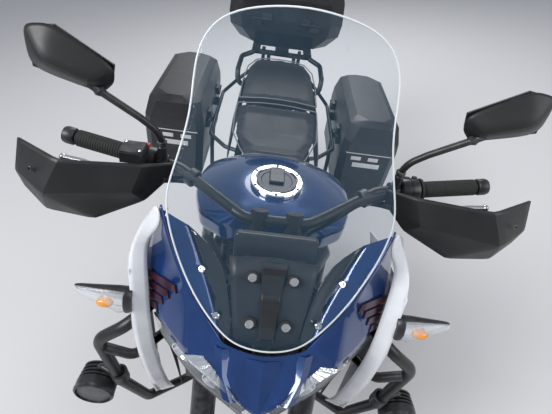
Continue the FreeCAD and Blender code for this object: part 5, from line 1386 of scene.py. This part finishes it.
    def wings(self) -> None:
        """The white wings' front flanges, which turn in towards the lamps, their liners and bolts."""
        rows = [((206, -378, 1120), (191, -397, 1106)), ((226, -372, 1074), (200, -394, 1068)),
                ((252, -392, 1030), (226, -380, 1030)), ((248, -430, 1000), (222, -408, 1000)),
                ((240, -456, 950), (214, -436, 950)), ((240, -470, 880), (211, -456, 880)),
                ((228, -482, 780), (198, -469, 780)), ((208, -478, 660), (180, -464, 660)),
                ((200, -440, 600), (174, -430, 600))]
        strip = loft(rows, caps=False, full=False)
        flowing(upright("wing_flanges", two_sides(strip), WHITE, smooth=40), 2, -self.flange_wall)
        liner = [(202, -356, 1042), (214, -342, 996), (222, -378, 950), (204, -436, 880), (174, -450, 780),
                 (160, -446, 640), (214, -330, 700), (240, -300, 840), (240, -228, 872), (230, -222, 892),
                 (238, -300, 935)]
        sheet = sheet_mesh(liner, "acb bchk cdh degh efg hijk", False, 10, 0.8, 1.0)
        obj = upright("side_liners", two_sides(sheet), BLACK_PLASTIC, "inner_panels", 30)
        flowing(obj, 2, self.skin_wall)
        marks = both_marks(((264, -300, 925), (0.98, -0.1, 0.1)), ((262, -250, 862), (0.98, -0.1, -0.1)))
        upright("wing_bolts", bolts(6, 3, 20, marks), CHROME)

    @staticmethod
    def signal_ring(share: float, shrink: float) -> list[Point]:
        """A cross-section of an indicator.

        Args:
            share: where, from its root at -1 by its widest at 0 to its tip at 1.
            shrink: its size against the indicator's own.

        Returns:
            The ring of points.
        """
        root, wide, tip = (238, -446, 940, 22, 28), (264, -450, 940, 20, 34), (345, -438, 946, 9, 8)
        low, high, t = (root, wide, share + 1) if share < 0 else (wide, tip, share)
        x, y, z, deep, tall = (a + (b - a) * t for a, b in zip(low, high))
        return [(x, y - deep * shrink * math.cos(a) * (0.85 + 0.15 * abs(math.cos(a))),
                 z - tall * shrink * math.sin(a)) for a in around(20)]

    def signals(self) -> None:
        """Arrow-shaped indicators: a dark root and rim, a clear lens and an amber bulb."""
        def rear(points: list[Point]) -> list[Point]:
            """A cross-section whose front half is laid back, behind the lens."""
            mid = sum(y for _x, y, _z in points) / len(points)
            return [(x, max(y, mid + 1 - 0.25 * (z - points[0][2])) + 0.6, z) for x, y, z in points]

        between = self.signal_ring
        root = loft([between(*at) for at in ((-1, 0.9), (-0.75, 1.0), (-0.55, 0.98), (-0.5, 0.96))])
        cover = loft([rear(between(*at)) for at in ((-0.52, 0.97), (-0.05, 0.99), (0.3, 0.98), (0.6, 0.97),
                                                    (0.85, 0.95), (0.98, 0.8))])
        lens = loft([between(*at) for at in ((-0.5, 0.90), (-0.02, 0.94), (0.3, 0.92), (0.6, 0.91),
                                             (0.85, 0.88), (0.97, 0.7))])
        back = loft([[(x, y + 6, z) for x, y, z in between(*at)] for at in
                     ((-0.4, 0.74), (0.05, 0.74), (0.5, 0.7), (0.92, 0.5))])
        for name, bm, look, smooth in (("shells", joined(root, cover), SATIN_PLASTIC, 40),
                                       ("lenses", lens, SIGNAL, 60), ("backs", back, REFLECTOR, 40)):
            upright(f"indicator_{name}", two_sides(bm), look, "front_indicators", smooth)
        bulb = lathe([(-16, 3), (-13, 7), (-2, 9), (7, 8), (12, 4)], Vector((288, -457, 938)), X_AXIS, 24)
        upright("indicator_bulbs", two_sides(bulb), AMBER, smooth=60)

    def board(self) -> None:
        """The instrument housing with its dark glass, facing the rider."""
        turn = Matrix.Translation((0, -404, 1060)) @ Matrix.Rotation(math.radians(-20), 4, "X")
        house = joined(box_mesh((-71, -11, -31), (71, 10, 31), turn),
                       two_sides(box_mesh((36, -434, 1046), (54, -408, 1058))))
        upright("instrument_housing", house, SATIN_PLASTIC, "dash", 30, edge=6, steps=4)
        glass = box_mesh((-62, 9, -24), (62, 11.6, 24), turn)
        upright("instrument_glass_pane", glass, DISPLAY, "dash", 30, edge=1.2)

    def build(self) -> None:
        """Make the fairing."""
        for make in (self.screen, self.panel, self.nose, self.cheeks, self.lamps, self.lamp_corners,
                     self.bezels, self.wings, self.signals, self.board):
            make()


# Each row: y, then x and z of the lower edge, lower side, upper side and shoulder, and the crown's z
TANK_ROWS = [(-256, (50, 905), (104, 925), (112, 965), (74, 1002), 1007),
             (-215, (84, 888), (160, 915), (164, 966), (96, 1006), 1013),
             (-147, (96, 880), (186, 912), (186, 963), (104, 1008), 1016),
             (-60, (98, 870), (194, 905), (188, 953), (104, 998), 1008),
             (30, (92, 858), (184, 890), (168, 935), (92, 968), 980),
             (105, (70, 840), (146, 860), (132, 895), (74, 918), 926),
             (150, (60, 830), (112, 842), (104, 868), (60, 884), 890)]
RIDER_ROWS = [(150.5, (58, 842), (100, 852), (98, 876), (58, 890), 893),
              (230, (66, 832), (118, 842), (118, 856), (76, 867), 868),
              (330, (96, 832), (148, 842), (150, 852), (108, 862), 862),
              (430, (104, 842), (152, 854), (154, 868), (118, 880), 880),
              (476, (104, 854), (150, 868), (148, 892), (112, 908), 908)]
PILLION_ROWS = [(476.3, (100, 872), (146, 884), (146, 905), (108, 918), 922),
                (620, (98, 882), (146, 895), (147, 912), (112, 924), 930),
                (760, (86, 888), (138, 900), (138, 916), (102, 930), 936),
                (850, (62, 892), (112, 902), (108, 916), (78, 926), 930)]


def hull(rows: list, inset: float = 0.0) -> Mesh:
    """A closed body from cross-sections.

    Args:
        rows: the cross-sections, from the front to the rear.
        inset: how far its skin is drawn in.

    Returns:
        The mesh.
    """
    rings = []
    for n, (y, *pairs, crown) in enumerate(rows):
        y += inset if n == 0 else -inset if n == len(rows) - 1 else 0
        half = [(x - inset, y, z + (inset if i < 2 else -inset * (i > 2))) for i, (x, z) in enumerate(pairs)]
        rings.append(half + [(0, y, crown - inset)] + [mirrored(p) for p in reversed(half)])
    return loft(rings)


@dataclass
class Tank:
    """The painted tank with its filler."""

    cap: Point = (0, -147, 1016)
    bolt_circle: float = 54.0
    cap_sides: int = 72
    hinge: tuple[float, float] = (-197, 1019)
    pin_radius: float = 2.0

    def build(self) -> None:
        """Make the tank, the ring with its bolts, the flap and its hinge."""
        flowing(upright("painted_tank", creased(hull(TANK_ROWS), 30, 0.45), BLUE, "fuel_tank", 45), 3)
        at, r = Vector(self.cap), self.bolt_circle
        ring = lathe([(-11.7, 57), (-1, 60), (3.5, 60), (6, 57.5), (6, 50), (4, 48.2), (-1, 48.2), (-1, 30),
                      (-11.7, 30)], at, Z_AXIS, self.cap_sides, closed=True)
        upright("bright_filler_ring", ring, CHROME, "filler_ring", 30)
        marks = [(at + Vector((r * math.cos(a), r * math.sin(a), 5.6)), NO_TURN) for a in around(6, 0.5)]
        upright("filler_bolts", bolts(3.4, 1.6, 16, marks), POWDER)
        flap = lathe([(-0.4, 44), (0.5, 46), (3, 46), (4.4, 44), (4.4, 36), (3.4, 34.5), (3.4, 4)], at,
                     Z_AXIS, self.cap_sides)
        upright("cap_flap_turned", flap, ANODISED, "tank_cap", 30)
        cover = box_mesh((-17, -159, 1020), (17, -107, 1025.6))
        upright("key_cover", cover, POWDER, "tank_cap", 30, edge=2.5, steps=3)
        knuckle = joined(bar((-9, *self.hinge), (9, *self.hinge), 3.6, self.pin_radius + 0.05),
                         box_mesh((-9, -196, 1016.5), (9, -189, 1020)))
        upright("cap_knuckle", knuckle, CHROME, "tank_cap", 40)
        pin = bar((-17, *self.hinge), (17, *self.hinge), self.pin_radius)
        upright("cap_pin", pin, STEEL, "filler_ring")


VOXEL = 0.0055
CLOTH_FRAMES = 20


@dataclass
class Seat:
    """A padded seat: a swollen cover over a firm base, with welted seams."""

    name: str
    rows: list
    inset: float = 5.0
    pressure: float = 4.0
    stiffness: float = 15.0
    cap: float = 7.0

    def swell(self, obj: bpy.types.Object) -> None:
        """Let the pad swell as cloth under pressure, and keep it near its start.

        Args:
            obj: the pad, not yet swollen.
        """
        scene = bpy.context.scene
        start = [v.co.copy() for v in obj.data.vertices]
        cloth = obj.modifiers.new("swell", "CLOTH")
        cloth.settings.use_pressure = True
        cloth.settings.uniform_pressure_force = self.pressure
        cloth.settings.effector_weights.gravity = 0.0
        cloth.settings.tension_stiffness = cloth.settings.compression_stiffness = self.stiffness
        cloth.point_cache.frame_start, cloth.point_cache.frame_end = 1, CLOTH_FRAMES
        for number in range(1, CLOTH_FRAMES + 1):
            scene.frame_set(number)
        swollen = [v.co.copy() for v in evaluated(obj).data.vertices]
        obj.modifiers.remove(cloth)
        scene.frame_set(1)
        for vertex, old, new in zip(obj.data.vertices, start, swollen):
            move = new - old
            if move.length > self.cap / 1000:
                move = move.normalized() * self.cap / 1000
            vertex.co = old + move

    def build(self) -> None:
        """Make the pad and the welt round it."""
        obj = upright(f"{self.name}_pad", hull(self.rows, self.inset), SEAT, f"{self.name}_seat", 60)
        obj.data.remesh_voxel_size = VOXEL
        remesh = obj.modifiers.new("voxels", "REMESH")
        remesh.mode, remesh.voxel_size = "VOXEL", VOXEL
        self.settle(obj)
        relax = obj.modifiers.new("relax", "SMOOTH")
        relax.iterations, relax.factor = 8, 0.5
        self.settle(obj)
        self.swell(obj)
        obj.data.shade_smooth()
        last = len(self.rows) - 1
        left = [(pairs[2][0] - 5.5, y + (7 if n == 0 else -7 if n == last else 0), pairs[2][1] + 1.5)
                for n, (y, *pairs, _crown) in enumerate(self.rows)]
        right = [mirrored(p) for p in left]
        ends = [[right[i]] + [(x, left[i][1], left[i][2] + lift) for x, lift in ((-60, 9), (0, 11), (60, 9))]
                + [left[i]] for i in (0, -1)]
        upright(f"{self.name}_welt", tubes([left, right] + ends, 2.2, 20, 10), THREAD, smooth=60)

    @staticmethod
    def settle(obj: bpy.types.Object) -> None:
        """Apply an object's modifiers to its mesh."""
        mesh = bpy.data.meshes.new_from_object(evaluated(obj))
        obj.modifiers.clear()
        obj.data = mesh


@dataclass
class Luggage:
    """Ribs, latches and strips on the three cases."""

    pannier: tuple[float, float, float, float] = (268.0, 490.0, 462.0, 987.0)
    seam: float = 752.0
    top_seam: float = 1072.0

    def panniers(self) -> None:
        """Seam strips, ribs, latches, a bare pale label and the lid's ridges on both side cases."""
        x0, x1, y0, y1 = self.pannier
        s = self.seam
        strips = boxes(((x0 + 20, y0 - 0.2, s - 6), (x1 - 24, y0 + 3, s - 2)),
                       ((x1 - 3, y0 + 26, s - 6), (x1 + 0.2, y1 - 26, s - 2)),
                       ((x0 + 44, y0 - 0.4, s - 34), (x0 + 84, y0 + 3, s - 18)),
                       ((x0 + 112, y0 - 0.4, s - 34), (x0 + 152, y0 + 3, s - 18)),
                       ((x0 + 56, y0 - 0.3, s - 66), (x0 + 164, y0 + 3, s - 46)))
        ribs = boxes(*[((x1 - 6, y, 570), (x1 - 0.6, y + 36, 735))
                       for y in (y0 + 60 + 84 * i for i in range(5))])
        latches = boxes(*[((x1 - 4, y - 22, s - 34), (x1 - 0.2, y + 22, s - 1))
                          for y in (y0 + 130, y1 - 130)])
        locks = boxes(*[((x1 - 2, y - 9, s - 26), (x1, y + 9, s - 12)) for y in (y0 + 130, y1 - 130)])
        ridges = boxes(*[((x0 + 62, y, s + 117), (x1 - 62, y + 26, s + 119.8))
                         for y in (y0 + 70 + 60 * i for i in range(7))])
        for word in ("left", "right"):
            for name, bm, look, edge, body in (("strip", strips, PALE, 0.8, "chassis"),
                                               ("ribs", ribs, CASE, 2.5, "chassis"),
                                               ("latches", latches, POWDER, 2, "chassis"),
                                               ("locks", locks, PALE, 1, "chassis"),
                                               ("lid_ridges", ridges, CASE, 1.2, f"pannier_lid_{word}")):
                half = bm.copy() if word == "left" else flipped(bm)
                upright(f"pannier_{name}_{word}", half, look, smooth=30, edge=edge, body=body)

    def top(self) -> None:
        """Side strips, ridges and the latch of the rear case."""
        s = self.top_seam
        ridges = boxes(*[((x, 975, 1258), (x + 24, 1195, 1261.6)) for x in range(-150, 150, 56)])
        strip = two_sides(box_mesh((236, 960, s + 6), (240, 1210, s + 22)))
        latch = box_mesh((-34, 1273, s - 44), (34, 1279.8, s - 2))
        upright("top_case_ridges", ridges, CASE, smooth=30, edge=1.2, body="top_case_lid")
        upright("top_case_strips", strip, PALE, smooth=30, edge=1.2, body="top_case_lid")
        upright("top_case_latch", latch, POWDER, smooth=30, edge=2.5, steps=3)

    def build(self) -> None:
        """Make the trim of all the cases."""
        self.panniers()
        self.top()


@dataclass
class Frame:
    """Round tubes in place of the flat-sided ones: frame, rack, crash bars and exhaust."""

    rail: float = 16.0
    brace: float = 11.0
    cross: float = 12.0
    carrier: float = 17.0
    rack: float = 8.0
    crash_bar: float = 12.7
    crash_brace: float = 10.7
    header: float = 18.0
    lamp_at: Point = (360, -466, 585)
    lamp_fins: int = 4

    def main_rails(self) -> None:
        """Rails, head tube, plates and cross tubes."""
        upper = [steer(14, -16, 680), steer(76, -84, 672), (152, -150, 806), (176, 30, 690),
                 (141, 140, 600)]
        lower = [steer(14, -16, 612), steer(72, -80, 608), (152, -215, 700), (172, -70, 614),
                 (141, 75, 600)]
        plate = [(40, 640), (150, 640), (205, 560), (205, 340), (150, 300), (95, 330), (120, 470),
                 (40, 590)]
        clevis = [(165, 640), (160, 612), (118, 586), (98, 600), (110, 618)]
        left = joined(tubes([upper, lower], self.rail, 34, 28), slab(plate, 134, 148),
                      tubes([[(155, -140, 800), (170, -90, 712), (168, -110, 640)]], self.brace, 20, 20),
                      bar((98, -240, 838), (98, -240, 900), 9))
        pivot, way = Vector((158, 70, 276)), Vector((0.92, 0, 0.39)).normalized()
        parts = [slab(clevis, -107, -101), slab(clevis, -55, -49),
                 boxes(((134, 50, 262), (140, 130, 350)), ((-22, -562, 850), (22, -552, 900))),
                 bar(steer(0, 0, 593), steer(0, 0, 697), 31, 24, 48),
                 *[bar((-141, y, z), (141, y, z), self.cross) for y, z in ((150, 625), (185, 468))],
                 bar(pivot - way * 26, pivot - way * 8, 22), bar(pivot - way * 20, pivot + way * 12, 6),
                 bar(pivot + way * 7.4, pivot + way * 14, 10, sides=6),
                 tubes([[steer(0, 20, 626), (0, -500, 872), (0, -556, 880)]], self.carrier, 40, 28)]
        whole = joined(two_sides(left), *parts)
        upright("frame_tubes_and_plates", whole, POWDER, "main_frame", 40, edge=1.2)

    def rear_rails(self) -> None:
        """Rear frame, rack, grab rails and the top case's plate."""
        paths = [(12.5, [(121.2, 173, 603), (121, 215, 768), (112, 480, 820), (96, 820, 862),
                         (90, 955, 862)]),
                 (10.5, [(124, 186, 545), (122, 420, 712), (102, 700, 832), (98, 770, 850)]),
                 (self.rack, [(120, 424, 714), (180, 450, 712), (246, 520, 718), (246, 900, 722),
                              (190, 966, 762), (150, 966, 800), (94, 954, 858)]),
                 (self.rack, [(246, 600, 718), (244, 560, 640), (232, 500, 540), (170, 426, 466)]),
                 (10, [(104, 702, 846), (168, 702, 866), (172, 724, 912), (166, 826, 930), (122, 868, 938)])]
        left = [tubes([path], radius, 30, 20) for radius, path in paths]
        left += [bar((x, y, low), (x, y, high), radius) for x, y, low, high, radius in
                 ((80, 955, 864, 936, self.rack), (110, 330, 794, 836, 9), (100, 530, 824, 872, 9),
                  (92, 730, 848, 882, 9))]
        left.append(tubes([[(55, 866, 862), (55, 872, 900), (55, 900, 938)]], self.rack, 16, 20))
        parts = [bar((-x, y, 862), (x, y, 862), self.rack) for x, y in ((94, 955), (98, 866))]
        slats = [((-130, y, 934), (130, y + 38, 944)) for y in (862, 1091)]
        slats += [((x, 862, 934), (x + w, 1130, 944)) for x, w in ((-130, 35), (-30, 60), (95, 35))]
        parts.append(boxes(*slats))
        whole = joined(two_sides(joined(*left)), *parts)
        upright("rear_frame_and_rack", whole, POWDER, "rear_subframe", 40, edge=1.0)

    def crash(self) -> None:
        """Crash bars with their feet."""
        hoop = [(158, -221, 703), (208, -340, 850), (246, -450, 872), (322, -450, 800), (300, -440, 620),
                (262, -395, 450), (196, -304, 362), (104, -236, 362)]
        brace = [(314, -448, 770), (256, -446, 745), (214, -372, 722), (180, -262, 700)]
        whole = joined(tubes([hoop], self.crash_bar, 46, 28), tubes([brace], self.crash_brace, 30, 24),
                       bar((104, -252, 362), (104, -193, 362), 14))
        upright("crash_bar_tubes", two_sides(whole), POWDER, "crash_bars", 50)

    def spots(self) -> None:
        """Auxiliary lamps: finned bodies, bezels, glass and arms."""
        x, y, z = self.lamp_at
        start, way = Vector(self.lamp_at), Vector((0, 1, 0))
        rows = [(4, 40), (6, 44), (14, 45), (28, 45), (30, 37)]
        for i in range(self.lamp_fins):
            rows += [(31 + 9 * i, 37 - i), (32 + 9 * i, 44 - i), (36 + 9 * i, 44 - i), (37 + 9 * i, 36 - i)]
        rows += [(68, 30), (72, 20)]
        arm = tubes([[(x, y + 50, z + 30), (x - 14, y + 40, z + 62), (x - 50, y + 26, z + 58)]], 6.5, 14, 20)
        clamp = bar((298, -439, z + 42), (301, -440.5, z + 72), 18.7, 13, 32)
        bezel = lathe([(0, 42), (3, 45.5), (8, 46), (8, 40), (0, 40)], start, way, closed=True)
        glass = lathe([(1.5, 12), (2.5, 34), (5, 40.5), (6, 40.5)], start, way)
        lamp = joined(lathe(rows, start, way), arm, clamp)
        for name, bm, look, smooth in (("bodies", lamp, SATIN_PLASTIC, 35), ("bezels", bezel, POWDER, 35),
                                       ("glass", glass, LENS, 60)):
            upright(f"spot_lamp_{name}", two_sides(bm), look, "spot_lamps", smooth)

    def exhaust(self) -> None:
        """Header pipes, the box and its outlet."""
        pipes = [[(x, -221.85, 625.64), (x, -260, 616), (x, -274, 560), (x, -270, 380),
                  (x * 0.9, -226, 240), (x * 0.7, -130, 203), (x * 0.6, -50, 200)] for x in (62, -62)]
        upright("header_pipes", tubes(pipes, self.header, 70, 28), EXHAUST, "exhaust", 50)
        rows = [(-60, 60, -60, 178, 219), (-20, 92, -110, 166, 219), (70, 96, -150, 164, 220),
                (160, 96, -165, 168, 240), (236, 80, -168, 186, 262)]
        box = loft([[(r, y, lo), (l, y, lo), (l, y, hi), (r, y, hi)] for y, l, r, lo, hi in rows])
        upright("silencer_box", box, EXHAUST, "exhaust", 25, edge=9, steps=4)
        upright("exhaust_outlet", bar((-150, 222, 226), (-206, 262, 238), 26, 21, 40), STEEL, "exhaust", 40)

    def build(self) -> None:
        """Make all the tube work."""
        for make in (self.main_rails, self.rear_rails, self.crash, self.spots, self.exhaust):
            make()


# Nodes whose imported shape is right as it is: finish, edge radius in millimetres, smoothing angle
PLAIN = (("triple_clamps", POWDER, 1.5, 40), ("front_fender", BLACK_PLASTIC, 0.8, 30),
         ("front_calipers", CAST, 2.5, 40), ("swingarm", POWDER, 3, 32), ("shock", POWDER, 0.8, 50),
         ("engine", CAST, 3.5, 32), ("radiator", POWDER, 1.5, 32), ("belly_pan", BLACK_PLASTIC, 1.0, 20),
         ("tail_cover", BLACK_PLASTIC, 0.8, 20), ("rear_fender", BLACK_PLASTIC, 1.5, 32),
         ("hugger", BLACK_PLASTIC, 0.8, 30), ("wing_panels", WHITE, 1.0, 16), ("footrests", POWDER, 1.5, 40),
         ("pannier_left", CASE, 6, 30), ("pannier_right", CASE, 6, 30), ("pannier_lid_left", CASE, 6, 25),
         ("pannier_lid_right", CASE, 6, 25), ("top_case", CASE, 6, 30), ("top_case_lid", CASE, 8, 25),
         ("side_stand", POWDER, 1.5, 40))


@dataclass
class Studio:
    """A pale floor, soft lamps and the camera at the photograph's viewpoint."""

    camera_at: Point = (-47.7, -885.2, 1561.8)
    forward: Point = (0.0578, 0.7644, -0.6421)
    right: Point = (0.9913, 0.0321, 0.1274)
    focal_px: float = 405.1
    frame_px: float = 552.0
    floor_colour: Colour = (0.62, 0.62, 0.63)
    sky: Colour = (0.86, 0.91, 1.0)

    def camera(self) -> None:
        """The camera, leaned with the machine."""
        data = bpy.data.cameras.new("camera")
        data.sensor_width = 36.0
        data.lens = self.focal_px * data.sensor_width / self.frame_px
        data.clip_start, data.clip_end = 0.02, 60.0
        obj = bpy.data.objects.new("camera", data)
        forward, right = Vector(self.forward).normalized(), Vector(self.right).normalized()
        up = right.cross(forward).normalized()
        turn = Matrix((forward.cross(up), up, -forward)).transposed()
        lean = Matrix.Rotation(LEAN, 3, "Y")
        obj.matrix_world = Matrix.Translation(TO_ROW @ Vector(self.camera_at)) @ (lean @ turn).to_4x4()
        bpy.context.scene.collection.objects.link(obj)
        bpy.context.scene.camera = obj

    def floor(self) -> None:
        """A wide, plain floor."""
        bm = bmesh.new()
        bmesh.ops.create_grid(bm, x_segments=1, y_segments=1, size=14)
        mesh = bpy.data.meshes.new("floor")
        bm.to_mesh(mesh)
        bm.free()
        material = bpy.data.materials.new("pale_floor")
        material.use_nodes = True
        NodeDesk(material.node_tree).fill(material.node_tree.nodes["Principled BSDF"], in_Roughness=0.85,
                                          in_Base__Color=rgba(self.floor_colour))
        mesh.materials.append(material)
        obj = bpy.data.objects.new("floor", mesh)
        bpy.context.scene.collection.objects.link(obj)

    @staticmethod
    def lamp(name: str, place: Point, size: float, power: float) -> None:
        """One soft lamp, aimed at the machine.

        Args:
            name: its name.
            place: where it stands, in metres.
            size: its diameter.
            power: its power in watts.
        """
        data = bpy.data.lights.new(name, "AREA")
        data.shape, data.size, data.energy = "DISK", size, power
        obj = bpy.data.objects.new(name, data)
        obj.location = place
        obj.rotation_mode = "QUATERNION"
        obj.rotation_quaternion = (Vector((0, 0, 0.7)) - Vector(place)).to_track_quat("-Z", "Y")
        bpy.context.scene.collection.objects.link(obj)

    def build(self) -> None:
        """Set up the whole studio."""
        self.camera()
        self.floor()
        self.lamp("key", (-2.6, -2.2, 4.2), 2.2, 190)
        self.lamp("fill", (3.4, -1.6, 2.6), 3.0, 60)
        self.lamp("back", (0.6, 3.8, 3.6), 2.6, 90)
        world = bpy.data.worlds.new("studio")
        world.use_nodes = True
        NodeDesk(world.node_tree).fill(world.node_tree.nodes["Background"], in_Color=rgba(self.sky),
                                       in_Strength=0.42)
        bpy.context.scene.world = world
        bpy.context.scene.view_settings.view_transform = "Standard"


def main() -> None:
    """Build the machine and its studio."""
    logging.basicConfig(level=logging.INFO, format="%(message)s")
    Studio().build()
    front = Wheel("front", FRONT_AXLE, FRONT_RADIUS, 120, 106, 135, 17)
    rear = Wheel("rear", REAR_AXLE, REAR_RADIUS, 160, 136, 190, 19, pitches=32)
    front.build()
    rear.build()
    front.disc(62, 150, "front_disc_left", "front_discs")
    front.disc(-62, 150, "front_disc_right", "front_discs")
    rear.disc(-69, 125, "rear_disc", "rear_disc")
    for part in (Drive(), Steering(), Fairing(), Tank(), Seat("rider", RIDER_ROWS),
                 Seat("pillion", PILLION_ROWS), Luggage(), Frame()):
        part.build()
    for row in PLAIN:
        dressed(*row)


if __name__ == "__main__":
    main()
